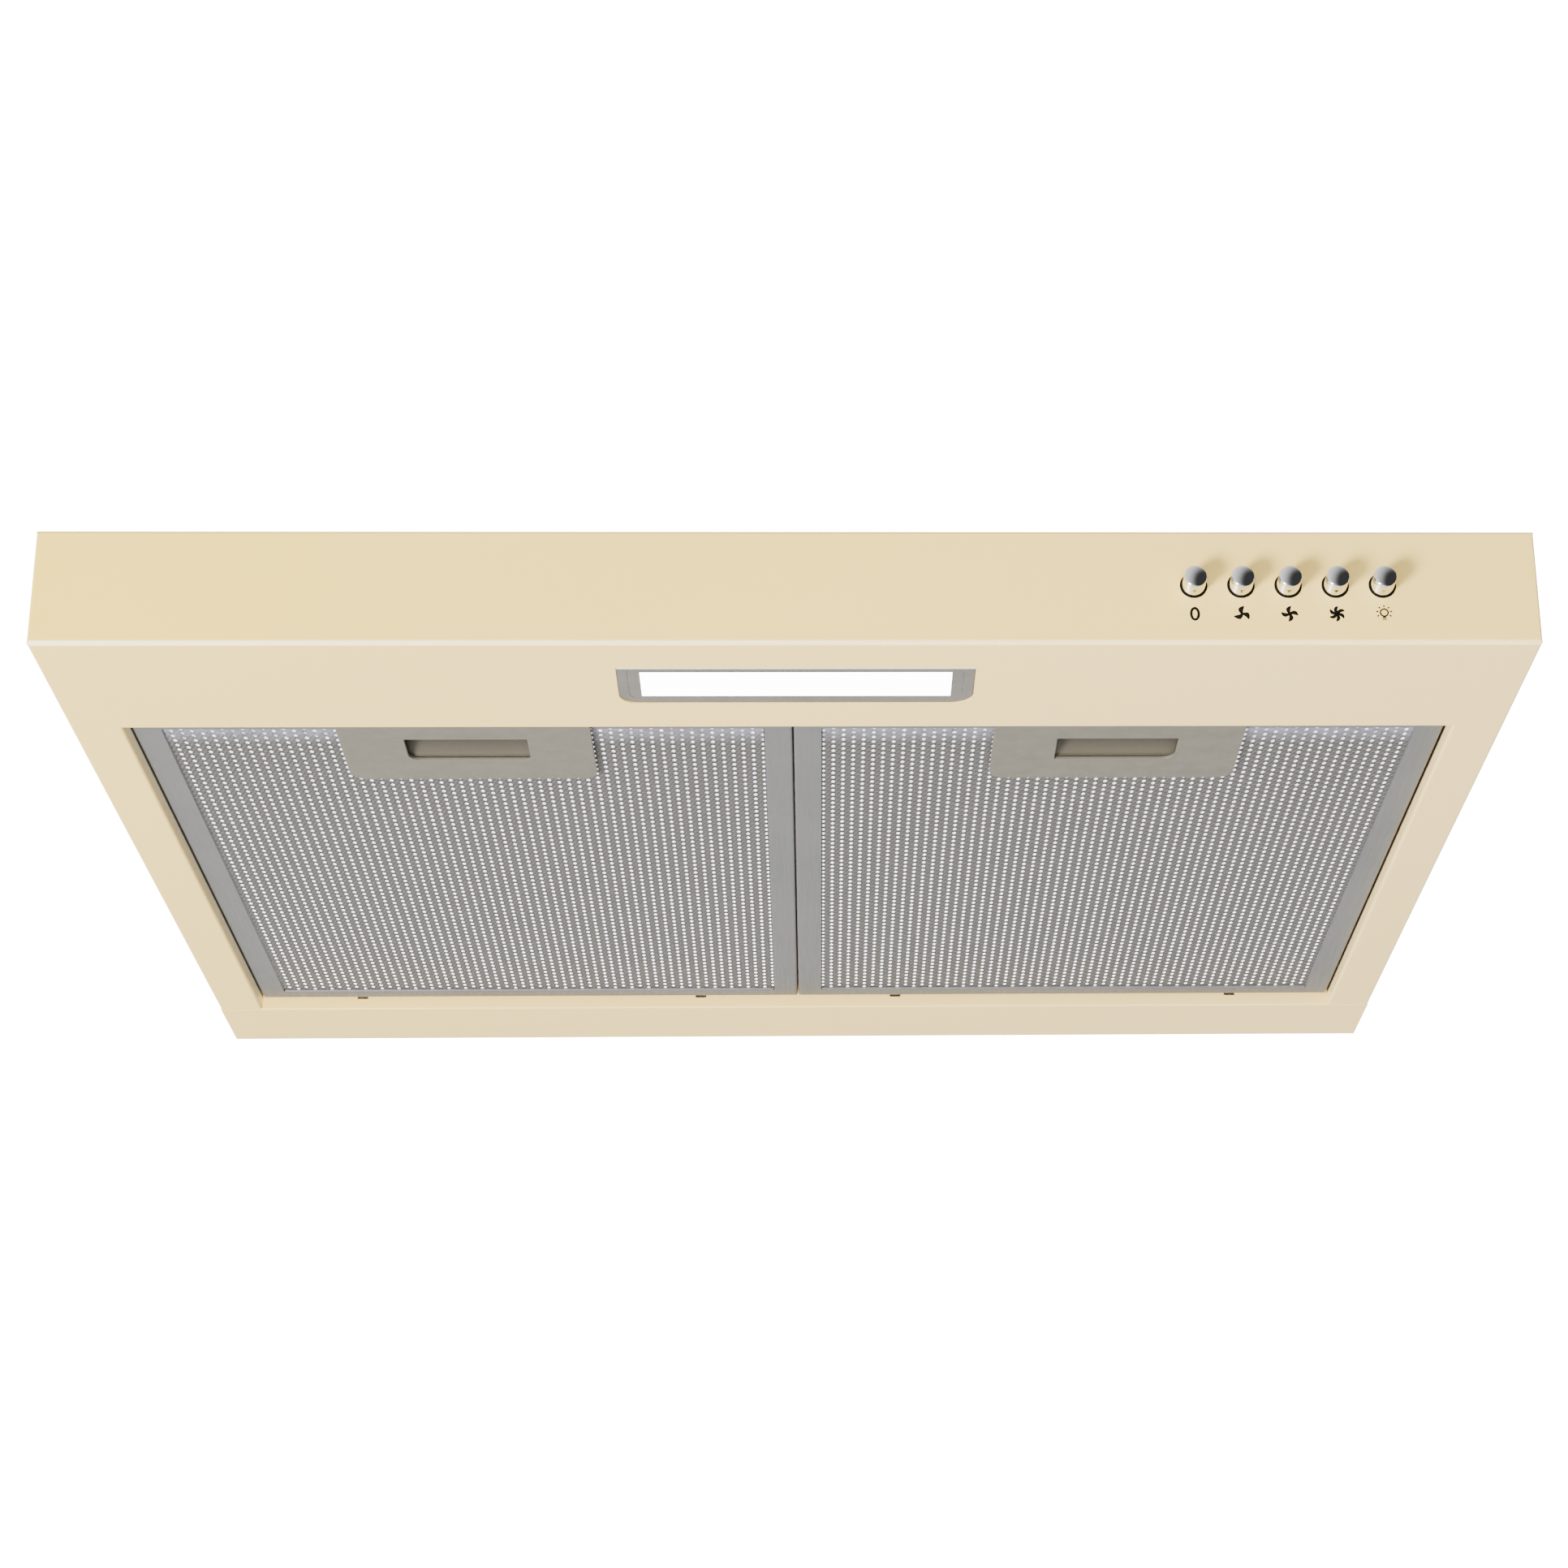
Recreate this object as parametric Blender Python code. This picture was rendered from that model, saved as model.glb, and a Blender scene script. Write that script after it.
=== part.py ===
"""Under cabinet range hood, 60 cm wide, as an assembly of separate pieces.

Sizes below are in millimetres in the hood's own layout: x to the right, y back from the
front fascia, z up from the underside. MOUNT_Y and HEIGHT move that layout so that the
object's origin lies on the top plate, where the hood is held under its cabinet.
"""

import math

import bmesh
import bpy
from mathutils import Matrix, Vector

MM = 0.001
GAP = 0.3           # clearance between neighbouring pieces
SHEET = 1.0         # steel sheet thickness

# Overall body
WIDTH = 600.0
DEPTH = 510.0
HEIGHT = 135.0      # underside to top plate
FASCIA_H = 50.0
VISOR_Y = 190.0     # flat top of the low front part ends here
BOX_Y = 205.0       # the tall rear box starts here
FOLD_R = 1.8        # outer radius of the folds
MOUNT_Y = 240.0     # origin: this far behind the fascia, on the top plate

HALF_W = WIDTH / 2
INNER_W = HALF_W - SHEET

# Underside: filter opening and rear strip
OPEN_HALF = 278.5
LIP_Y = 84.7
SEAM_Y = DEPTH - 51.5
FLANGE_H = 12.0
CORNER_NOTCH = 3.0  # relief between neighbouring flanges

# Lamp
LAMP_HALF = 72.6
LAMP_Y0 = 23.7
LAMP_Y1 = 59.3
LAMP_CORNER_R = 7.5

# Push buttons on the fascia
BUTTON_X = (161.0, 180.0, 199.0, 218.0, 237.0)
BUTTON_NAMES = ("button_off", "button_speed_1", "button_speed_2", "button_speed_3", "button_light")
BUTTON_Z = 25.5
BUTTON_R = 4.6
BUTTON_HOLE_R = 5.25
BUTTON_OUT = 10.0

# Grease filters
SIDE_GAP = 1.0      # between a cassette and the side lip
CENTRE_GAP = 0.5    # between the two cassettes
FILTER_Z = 5.4
FILTER_T = 9.0
FILTER_Y0 = LIP_Y + 1.8
FILTER_Y1 = SEAM_Y - 3.5
RAIL_W = 12.0
REAR_RAIL_W = 9.0
FILTER_W = OPEN_HALF - SIDE_GAP - CENTRE_GAP / 2
FILTER_X = CENTRE_GAP / 2 + FILTER_W / 2
HINGE_Y = SEAM_Y + SHEET / 2
HINGE_Z = 7.3
TAB_OFFSET = 88.0
TAB_W = 9.0

# Filter handles and their sliding latches
HANDLE_HALF = 53.5
HANDLE_Y1 = 150.0
HANDLE_Z = 3.6
HANDLE_T = 1.5
SLOT_HALF = 26.0
SLOT_Y0 = 106.0
SLOT_Y1 = 128.5
HOUSING_HALF = 32.0
HOUSING_Y1 = 147.0
HOUSING_TOP = 12.9
HOUSING_WALL = 2.0
LATCH_TRAVEL = 5.0
TONGUE_HALF = 9.0

# Blower
FAN_X = -146.0
FAN_Y = 340.0
SCROLL_R0 = 98.0
SCROLL_R1 = 142.0
SCROLL_WALL = 2.0
SCROLL_Z0 = 46.0
SCROLL_SPLIT = 80.0
SCROLL_Z1 = 116.0
TONGUE_ANGLE = 55.0
DUCT_X = 0.0
DUCT_Y = FAN_Y + 86.0
CHAMBER_HALF = 58.0
THROAT_R = 55.0
INLET_R = 66.0
WHEEL_R = 86.0
WHEEL_BLADES = 20
MOTOR_R = 44.0

# Duct collar and its backdraft flaps
COLLAR_R = 60.0
COLLAR_WALL = 2.0
COLLAR_TOP = 170.0
FLAP_Z = 142.0
FLAP_R = 56.0

# Terminal box and cable entry
GLAND_X = 230.0
GLAND_Y = 420.0

COLOURS = {
    "cream_steel": ((0.80, 0.70, 0.50), 0.35, 0.0),
    "galvanised": ((0.55, 0.56, 0.57), 0.45, 0.9),
    "aluminium": ((0.62, 0.62, 0.61), 0.4, 0.9),
    "mesh": ((0.70, 0.70, 0.70), 0.35, 1.0),
    "handle_grey": ((0.36, 0.34, 0.29), 0.5, 0.0),
    "chrome": ((0.85, 0.85, 0.85), 0.08, 1.0),
    "spring_steel": ((0.5, 0.5, 0.5), 0.3, 1.0),
    "black_plastic": ((0.03, 0.03, 0.03), 0.5, 0.0),
    "white_plastic": ((0.8, 0.8, 0.78), 0.5, 0.0),
    "lens": ((0.8, 0.8, 0.8), 0.3, 0.0),
    "board": ((0.85, 0.86, 0.85), 0.5, 0.0),
    "motor": ((0.25, 0.25, 0.27), 0.5, 0.8),
    "lead": ((0.75, 0.75, 0.73), 0.5, 0.0),
}


def clear_scene():
    for obj in list(bpy.data.objects):
        bpy.data.objects.remove(obj, do_unlink=True)


def layout(x, y, z):
    """A layout point in millimetres as a world point in metres."""
    return Vector((x, y - MOUNT_Y, z - HEIGHT)) * MM


def material(name, finish):
    colour, roughness, metallic = COLOURS[finish]
    mat = bpy.data.materials.new(name)
    mat.use_nodes = True
    shader = mat.node_tree.nodes["Principled BSDF"]
    shader.inputs["Base Color"].default_value = (*colour, 1.0)
    shader.inputs["Roughness"].default_value = roughness
    shader.inputs["Metallic"].default_value = metallic
    return mat


def add_object(name, bm, finish=None, pivot=(0.0, 0.0, 0.0), smooth=False):
    """Turns a bmesh drawn in layout millimetres into an object whose origin is at the pivot."""
    bmesh.ops.recalc_face_normals(bm, faces=bm.faces)
    bmesh.ops.translate(bm, verts=bm.verts, vec=-Vector(pivot))
    bmesh.ops.scale(bm, verts=bm.verts, vec=(MM, MM, MM))
    mesh = bpy.data.meshes.new(name)
    bm.to_mesh(mesh)
    bm.free()
    obj = bpy.data.objects.new(name, mesh)
    obj.location = layout(*pivot)
    bpy.context.collection.objects.link(obj)
    if finish:
        mesh.materials.append(material(name, finish))
    if smooth:
        mesh.shade_smooth()
        mesh.set_sharp_from_angle(angle=math.radians(35))
    return obj


def combine(obj, operation, *shapes):
    """Joins shapes to an object, or cuts them out of it, with Boolean modifiers."""
    for shape in shapes:
        tool = add_object(obj.name + "_tool", shape)
        tool.hide_render = True
        tool.display_type = "WIRE"
        modifier = obj.modifiers.new(operation.title(), "BOOLEAN")
        modifier.operation = operation
        modifier.solver = "EXACT"
        modifier.object = tool


def join(obj, *shapes):
    combine(obj, "UNION", *shapes)


def cut(obj, *shapes):
    combine(obj, "DIFFERENCE", *shapes)


def box(x0, x1, y0, y1, z0, z1):
    bm = bmesh.new()
    size = Matrix.Diagonal((x1 - x0, y1 - y0, z1 - z0, 1.0))
    centre = Matrix.Translation(((x0 + x1) / 2, (y0 + y1) / 2, (z0 + z1) / 2))
    bmesh.ops.create_cube(bm, size=1.0, matrix=centre @ size)
    return bm


def rod(x, y, z, axis, radius, length, sides=24):
    """A round bar that starts at the point and runs along the positive axis."""
    turn = {"X": Matrix.Rotation(math.pi / 2, 4, "Y"), "Y": Matrix.Rotation(-math.pi / 2, 4, "X"),
            "Z": Matrix.Identity(4)}[axis]
    middle = Matrix.Translation((x, y, z)) @ turn @ Matrix.Translation((0, 0, length / 2))
    bm = bmesh.new()
    bmesh.ops.create_cone(bm, cap_ends=True, segments=sides, radius1=radius, radius2=radius,
                          depth=length, matrix=middle)
    return bm


def prism(outline, axis, start, end):
    """Extrudes an outline along an axis. X takes (y, z) points and Z takes (x, y) points."""
    bm = bmesh.new()
    if axis == "X":
        points = [(start, a, b) for a, b in outline]
        step = (end - start, 0, 0)
    else:
        points = [(a, b, start) for a, b in outline]
        step = (0, 0, end - start)
    face = bm.faces.new([bm.verts.new(p) for p in points])
    swept = bmesh.ops.extrude_face_region(bm, geom=[face])["geom"]
    moved = [item for item in swept if isinstance(item, bmesh.types.BMVert)]
    bmesh.ops.translate(bm, verts=moved, vec=step)
    return bm


def turned(profile, x, y, sides=32):
    """Spins a closed (radius, z) profile about the vertical line through x, y."""
    bm = bmesh.new()
    verts = [bm.verts.new((x + r, y, z)) for r, z in profile]
    edges = [bm.edges.new((a, b)) for a, b in zip(verts, verts[1:] + verts[:1])]
    bmesh.ops.spin(bm, geom=verts + edges, cent=(x, y, 0), axis=(0, 0, 1), angle=2 * math.pi,
                   steps=sides, use_merge=True, use_duplicate=False)
    bmesh.ops.remove_doubles(bm, verts=bm.verts, dist=0.001)
    return bm


def arc(cx, cy, radius, start, end, steps):
    """Points on an arc, with angles in degrees."""
    angles = [math.radians(start + (end - start) * i / steps) for i in range(steps + 1)]
    return [(cx + radius * math.cos(a), cy + radius * math.sin(a)) for a in angles]


def tube(name, points, radius, finish, bevel_resolution=2):
    """A lead along a smooth curve through the given layout points."""
    curve = bpy.data.curves.new(name, "CURVE")
    curve.dimensions = "3D"
    curve.bevel_depth = radius * MM
    curve.bevel_resolution = bevel_resolution
    curve.use_fill_caps = True
    path = smooth_path(points, 6)
    spline = curve.splines.new("POLY")
    spline.points.add(len(path) - 1)
    for point, place in zip(spline.points, path):
        point.co = (*layout(*place), 1.0)
    curve.materials.append(material(name, finish))
    obj = bpy.data.objects.new(name, curve)
    bpy.context.collection.objects.link(obj)
    return obj


def smooth_path(points, steps):
    """Catmull-Rom points through a short list of places."""
    ends = [Vector(points[0]), *map(Vector, points), Vector(points[-1])]
    path = []
    for a, b, c, d in zip(ends, ends[1:], ends[2:], ends[3:]):
        for i in range(steps):
            t = i / steps
            path.append(0.5 * (2 * b + (c - a) * t + (2 * a - 5 * b + 4 * c - d) * t ** 2
                               + (3 * b - a - 3 * c + d) * t ** 3))
    path.append(ends[-1])
    return path


# Body ------------------------------------------------------------------------------------

def body_outline():
    """Side view of the canopy's outer face, with rounded folds on the fascia."""
    rear = DEPTH - SHEET - GAP
    top = HEIGHT - SHEET - GAP
    return [*arc(FOLD_R, FOLD_R, FOLD_R, 270, 180, 4),
            *arc(FOLD_R, FASCIA_H - FOLD_R, FOLD_R, 180, 90, 4),
            (VISOR_Y, FASCIA_H), (BOX_Y, top), (rear, top), (rear, 0)]


def hollow_outline():
    """Side view of the space inside the canopy, open to the top and the rear."""
    slope = (BOX_Y - VISOR_Y) / (HEIGHT - SHEET - GAP - FASCIA_H)
    over = HEIGHT + 10
    inner_r = FOLD_R - SHEET
    return [*arc(FOLD_R, FOLD_R, inner_r, 270, 180, 2),
            *arc(FOLD_R, FASCIA_H - FOLD_R, inner_r, 180, 90, 2),
            (VISOR_Y + SHEET - slope, FASCIA_H - SHEET),
            (VISOR_Y + SHEET + slope * (over - FASCIA_H), over),
            (DEPTH + 10, over), (DEPTH + 10, SHEET)]


def lamp_outline(grow=0.0):
    """The lamp opening: square front corners and round rear corners."""
    x, r = LAMP_HALF + grow, LAMP_CORNER_R + grow
    y0, y1 = LAMP_Y0 - grow, LAMP_Y1 + grow
    return [(-x, y0), (x, y0), *arc(x - r, y1 - r, r, 0, 90, 4), *arc(r - x, y1 - r, r, 90, 180, 4)]


def make_canopy():
    obj = add_object("canopy", prism(body_outline(), "X", -HALF_W, HALF_W), "cream_steel")
    top = HEIGHT - SHEET - GAP
    cut(obj, prism(hollow_outline(), "X", -INNER_W, INNER_W),
        box(-HALF_W - 1, HALF_W + 1, SEAM_Y - GAP, DEPTH + 1, -1, SHEET + GAP),
        box(-OPEN_HALF, OPEN_HALF, LIP_Y, SEAM_Y + 5, -1, SHEET + 1))
    for side in (-1, 1):
        edge = sorted((side * OPEN_HALF, side * (OPEN_HALF + SHEET)))
        ledge = sorted((side * INNER_W + side * 0.5, side * (INNER_W - 12)))
        join(obj, box(*edge, LIP_Y + CORNER_NOTCH, SEAM_Y - 1, 0.5, FLANGE_H),
             box(*ledge, BOX_Y + 4, DEPTH - 4, top - SHEET, top))
    front = OPEN_HALF - CORNER_NOTCH
    join(obj, box(-front, front, LIP_Y - SHEET, LIP_Y, 0.5, FLANGE_H + 1))
    cut(obj, prism(lamp_outline(), "Z", -1, 3))
    for x in BUTTON_X:
        cut(obj, rod(x, -1, BUTTON_Z, "Y", BUTTON_HOLE_R, 4))


def make_rear_panel():
    """Wall plate and 50 mm underside strip, folded from one sheet, with a raised front flange."""
    outline = [(SEAM_Y, SHEET), (SEAM_Y, 0.7), (SEAM_Y + 0.7, 0), *arc(DEPTH - 2, 2, 2, 270, 360, 4),
               (DEPTH, HEIGHT), (DEPTH - SHEET, HEIGHT), (DEPTH - SHEET, SHEET)]
    obj = add_object("rear_panel", prism(outline, "X", -HALF_W, HALF_W), "cream_steel")
    side = HALF_W - SHEET - GAP
    join(obj, box(-side, side, SEAM_Y, SEAM_Y + SHEET, 0.8, FLANGE_H))
    for x in tab_places():
        cut(obj, box(x - TAB_W / 2 - GAP, x + TAB_W / 2 + GAP, SEAM_Y - 1, SEAM_Y + SHEET + 1,
                     HINGE_Z - 1.7, HINGE_Z + 1.7))


def tab_places():
    return [side * FILTER_X + offset for side in (-1, 1) for offset in (-TAB_OFFSET, TAB_OFFSET)]


def make_top_plate():
    side = HALF_W
    obj = add_object("top_plate",
                     box(-side, side, BOX_Y, DEPTH - SHEET - GAP, HEIGHT - SHEET, HEIGHT),
                     "galvanised")
    cut(obj, rod(DUCT_X, DUCT_Y, HEIGHT - 3, "Z", COLLAR_R + GAP, 6, 40),
        rod(GLAND_X, GLAND_Y, HEIGHT - 3, "Z", 9.3, 6, 20))
    for x in (-220, 220):
        for y in (BOX_Y + 45, DEPTH - 60):
            cut(obj, rod(x, y, HEIGHT - 3, "Z", 3.0, 6, 12))


# Duct collar -----------------------------------------------------------------------------

def make_collar():
    under = HEIGHT - SHEET - GAP
    inner = COLLAR_R - COLLAR_WALL
    profile = [(inner, SCROLL_Z1 + GAP), (COLLAR_R, SCROLL_Z1 + GAP), (COLLAR_R, under - 2),
               (COLLAR_R + 9, under - 2), (COLLAR_R + 9, under), (COLLAR_R, under),
               (COLLAR_R, COLLAR_TOP - 6), (COLLAR_R + 0.8, COLLAR_TOP - 4),
               (COLLAR_R, COLLAR_TOP - 2), (COLLAR_R - 0.8, COLLAR_TOP), (inner, COLLAR_TOP)]
    add_object("duct_collar", turned(profile, DUCT_X, DUCT_Y, 40), "black_plastic", smooth=True)


def make_flaps():
    """Two half discs that lift about the pin across the collar's middle."""
    pin_r = 1.5
    edge = 3.0
    reach = math.degrees(math.acos(edge / FLAP_R))
    length = 2 * (COLLAR_R - COLLAR_WALL - GAP)
    add_object("damper_pin", rod(DUCT_X, DUCT_Y - length / 2, FLAP_Z, "Y", pin_r, length, 10),
               "spring_steel", smooth=True)
    for name, middle in (("damper_flap_left", 180), ("damper_flap_right", 0)):
        outline = arc(DUCT_X, DUCT_Y, FLAP_R, middle - reach, middle + reach, 14)
        add_object(name, prism(outline, "Z", FLAP_Z - 0.5, FLAP_Z + 0.5), "white_plastic",
                   pivot=(DUCT_X, DUCT_Y, FLAP_Z))


# Blower ----------------------------------------------------------------------------------

def scroll_outline(grow, first=0):
    """Spiral round the wheel, which opens into the chamber under the duct collar.

    The outer outline starts a few steps later than the inner one, so that the tongue
    between the spiral and the chamber is solid.
    """
    sweep = 360 - (90 - TONGUE_ANGLE)
    steps = 18
    points = []
    for i in range(first, steps + 1):
        angle = math.radians(TONGUE_ANGLE - sweep * i / steps)
        radius = SCROLL_R0 + (SCROLL_R1 - SCROLL_R0) * i / steps + grow
        points.append((FAN_X + radius * math.cos(angle), FAN_Y + radius * math.sin(angle)))
    right = DUCT_X + CHAMBER_HALF + grow
    front = FAN_Y + 30 - grow
    return points + [(right, FAN_Y + SCROLL_R1 + grow), (right, front), (FAN_X + 124 - grow, front)]


def make_blower_housing():
    lower = add_object("blower_housing_lower",
                       prism(scroll_outline(SCROLL_WALL, 3), "Z", SCROLL_Z0,
                             SCROLL_SPLIT - GAP / 2),
                       "galvanised")
    cut(lower, prism(scroll_outline(0), "Z", SCROLL_Z0 + SCROLL_WALL, SCROLL_SPLIT + 5),
        rod(FAN_X, FAN_Y, SCROLL_Z0 - 1, "Z", INLET_R, 5, 32))
    upper = add_object("blower_housing_upper",
                       prism(scroll_outline(SCROLL_WALL, 3), "Z", SCROLL_SPLIT + GAP / 2,
                             SCROLL_Z1),
                       "galvanised")
    cut(upper, prism(scroll_outline(0), "Z", SCROLL_SPLIT - 5, SCROLL_Z1 - SCROLL_WALL),
        rod(FAN_X, FAN_Y, SCROLL_Z1 - 5, "Z", MOTOR_R + 4, 10, 32),
        rod(DUCT_X, DUCT_Y, SCROLL_Z1 - 5, "Z", THROAT_R, 10, 32))
    for x, y in ((FAN_X - 90, FAN_Y - 60), (FAN_X + 87, FAN_Y - 40), (FAN_X - 90, FAN_Y + 80)):
        join(upper, rod(x, y, SCROLL_Z1 - 1, "Z", 6.0, HEIGHT - SHEET - GAP - SCROLL_Z1 + 1, 12))


def make_inlet_guard():
    top = SCROLL_Z0 - GAP
    rim = [(INLET_R, top - 3), (INLET_R + 5, top - 3), (INLET_R + 5, top), (INLET_R, top)]
    guard = add_object("inlet_guard", turned(rim, FAN_X, FAN_Y, 32), "black_plastic")
    for middle in (-44, -22, 0, 22, 44):
        half = math.sqrt((INLET_R + 2) ** 2 - middle ** 2)
        join(guard, box(FAN_X + middle - 1, FAN_X + middle + 1, FAN_Y - half, FAN_Y + half,
                        top - 2.5, top - 0.5))
    join(guard, box(FAN_X - INLET_R - 2, FAN_X + INLET_R + 2, FAN_Y - 1, FAN_Y + 1,
                    top - 2.7, top - 0.7))


def blade(index):
    """One forward-curved blade of the wheel, as an arc of constant thickness."""
    inner_r, outer_r, thickness = 68.0, WHEEL_R - 1.0, 1.2
    steps = 3
    turn = 2 * math.pi * index / WHEEL_BLADES
    front, back = [], []
    for i in range(steps + 1):
        share = i / steps
        radius = inner_r + (outer_r - inner_r) * share
        angle = turn - 0.16 * share ** 2
        half = thickness / 2 / radius
        front.append((FAN_X + radius * math.cos(angle + half), FAN_Y + radius * math.sin(angle + half)))
        back.append((FAN_X + radius * math.cos(angle - half), FAN_Y + radius * math.sin(angle - half)))
    return prism(front + back[::-1], "Z", 52.0, 103.5)


def make_impeller():
    """Cup-shaped hub with a back ring, blades and a bottom ring, all one moulding."""
    bore, cup = 4.6, 50.0
    floor, ring = 64.0, 103.0
    profile = [(bore, floor), (cup + 2, floor), (cup + 2, ring), (WHEEL_R, ring), (WHEEL_R, ring + 2),
               (cup, ring + 2), (cup, floor + 2), (bore, floor + 2)]
    pivot = (FAN_X, FAN_Y, floor)
    wheel = add_object("impeller", turned(profile, FAN_X, FAN_Y, 32), "black_plastic", pivot)
    rim = [(WHEEL_R - 5, 50.5), (WHEEL_R, 50.5), (WHEEL_R, 52.5), (WHEEL_R - 5, 52.5)]
    join(wheel, turned(rim, FAN_X, FAN_Y, 32))
    for index in range(WHEEL_BLADES):
        join(wheel, blade(index))
    add_object("impeller_nut", rod(FAN_X, FAN_Y, 57.0, "Z", 8.0, 7.0 - GAP, 6), "black_plastic",
               pivot)
    cut(bpy.data.objects["impeller_nut"], rod(FAN_X, FAN_Y, 60.0, "Z", 4.3, 6, 16))
    add_object("motor_shaft", rod(FAN_X, FAN_Y, 60.3, "Z", 4.0, 71.7 - 60.3 + 8, 16),
               "spring_steel", pivot, smooth=True)


def screw_places():
    return [(FAN_X + 30 * math.cos(a), FAN_Y + 30 * math.sin(a))
            for a in (math.pi / 2 + i * 2 * math.pi / 3 for i in range(3))]


def make_motor():
    bottom, top = 72.0, SCROLL_Z1
    r = MOTOR_R
    profile = [(0.0, bottom), (r - 6, bottom), (r, bottom + 6), (r, top - 4), (r - 3, top), (0.0, top)]
    motor = add_object("motor_body", turned_solid(profile), "motor", smooth=True)
    cut(motor, rod(FAN_X, FAN_Y, bottom - 1, "Z", 4.3, 10, 16))
    plate_z = top + GAP
    bracket = add_object("motor_bracket", rod(FAN_X, FAN_Y, plate_z, "Z", 62.0, 2.0, 32), "galvanised")
    for index, (x, y) in enumerate(screw_places()):
        cut(motor, rod(x, y, top - 6, "Z", 1.8, 8, 10))
        cut(bracket, rod(x, y, plate_z - 1, "Z", 1.8, 5, 10))
        screw = add_object(f"motor_screw_{index + 1}",
                           rod(x, y, plate_z + 2 + GAP, "Z", 3.6, 2.2, 12), "spring_steel")
        join(screw, rod(x, y, top - 5, "Z", 1.5, plate_z + 2 + GAP + 1 - top + 5, 10))


def turned_solid(profile, sides=32):
    """Spins a profile that starts and ends on the fan's axis."""
    bm = bmesh.new()
    verts = [bm.verts.new((FAN_X + r, FAN_Y, z)) for r, z in profile]
    edges = [bm.edges.new(pair) for pair in zip(verts, verts[1:])]
    bmesh.ops.spin(bm, geom=verts + edges, cent=(FAN_X, FAN_Y, 0), axis=(0, 0, 1),
                   angle=2 * math.pi, steps=sides, use_merge=True, use_duplicate=False)
    bmesh.ops.remove_doubles(bm, verts=bm.verts, dist=0.001)
    return bm


def make_capacitor():
    """Run capacitor in a strap under the top plate."""
    x0, y, r = 150.0, 290.0, 14.0
    under = HEIGHT - SHEET - GAP
    z = under - r - 2.6
    add_object("capacitor", rod(x0, y, z, "X", r, 62, 20), "white_plastic", smooth=True)
    strap = add_object("capacitor_clip", box(x0 + 22, x0 + 38, y - r - 2.3, y + r + 2.3,
                                             z - r - 2.3, under), "galvanised")
    cut(strap, rod(x0 + 20, y, z, "X", r + GAP, 20, 20))


# Terminal box ----------------------------------------------------------------------------

def make_terminal_box():
    top = HEIGHT - SHEET - GAP
    x0, x1, y0, y1, bottom = GLAND_X - 38, GLAND_X + 38, GLAND_Y - 38, GLAND_Y + 38, top - 34
    shell = add_object("terminal_box", box(x0, x1, y0, y1, bottom, top), "black_plastic")
    cut(shell, box(x0 + 2, x1 - 2, y0 + 2, y1 - 2, bottom - 1, top - 2),
        rod(GLAND_X, GLAND_Y, top - 4, "Z", 9.3, 6, 20))
    add_object("terminal_cover", box(x0, x1, y0, y1, bottom - 2 - GAP, bottom - GAP), "black_plastic")
    block = add_object("terminal_block", box(GLAND_X - 30, GLAND_X + 30, y0 + 6, y0 + 20,
                                             bottom + 2, bottom + 16), "white_plastic")
    for x in (-20, 0, 20):
        cut(block, rod(GLAND_X + x, y0 + 13, bottom + 8, "Z", 3.0, 10, 10))
    flange = top - 2 - GAP
    profile = [(4.5, flange - 2), (13, flange - 2), (13, flange), (9, flange), (9, HEIGHT + 9),
               (6.5, HEIGHT + 15), (4.5, HEIGHT + 15)]
    add_object("cable_gland", turned(profile, GLAND_X, GLAND_Y, 20), "black_plastic", smooth=True)


# Lamp ------------------------------------------------------------------------------------

def make_lamp():
    lens = add_object("lamp_lens", prism(lamp_outline(-GAP), "Z", 0.5, 2.4), "lens")
    join(lens, box(-LAMP_HALF - 3, LAMP_HALF + 3, LAMP_Y0 - 3, LAMP_Y1 + 3, SHEET + GAP, 2.6))
    x, y0, y1, top = LAMP_HALF + 6, LAMP_Y0 - 6, LAMP_Y1 + 6, 19.0
    housing = add_object("lamp_housing", box(-x, x, y0, y1, SHEET + GAP, top), "white_plastic")
    cut(housing, box(2.5 - x, x - 2.5, y0 + 2.5, y1 - 2.5, 0, top - 2))
    middle = (LAMP_Y0 + LAMP_Y1) / 2
    board = add_object("lamp_board", box(-66, 66, middle - 8, middle + 8, 15.0, 16.7), "board")
    for index in range(6):
        centre = -55 + 22 * index
        join(board, box(centre - 2, centre + 2, middle - 2, middle + 2, 14.0, 15.5))
    driver = add_object("lamp_driver", box(-45, 35, 96, 132, 26, FASCIA_H - SHEET - GAP),
                        "white_plastic")
    for x in (-40, -20, 0, 20):
        cut(driver, box(x, x + 8, 92, 98, 30, 42))


# Push buttons ----------------------------------------------------------------------------

def make_buttons():
    bank = add_object("switch_bank", box(BUTTON_X[0] - 11, BUTTON_X[-1] + 11, SHEET + 1, 28, 14, 38),
                      "black_plastic")
    bracket_top = FASCIA_H - SHEET - GAP
    outline = [(3, bracket_top), (3, bracket_top - 1.5), (28 + GAP, bracket_top - 1.5), (28 + GAP, 16),
               (29.8, 16), (29.8, bracket_top)]
    add_object("switch_bracket", prism(outline, "X", BUTTON_X[0] - 8, BUTTON_X[-1] + 8), "galvanised")
    for index, (name, x) in enumerate(zip(BUTTON_NAMES, BUTTON_X)):
        cut(bank, rod(x, 0, BUTTON_Z, "Y", BUTTON_R + 0.4, 18, 20))
        r = BUTTON_R
        profile = [(0.0, -BUTTON_OUT), (r - 1.6, -BUTTON_OUT + 0.15), (r - 0.5, -BUTTON_OUT + 0.7),
                   (r, -BUTTON_OUT + 1.4), (r, 9.0), (0.0, 9.0)]
        bm = turned_about_y(profile, x, BUTTON_Z)
        add_object(name, bm, "chrome", pivot=(x, 0, BUTTON_Z), smooth=True)
        make_button_spring(index + 1, x)


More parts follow.
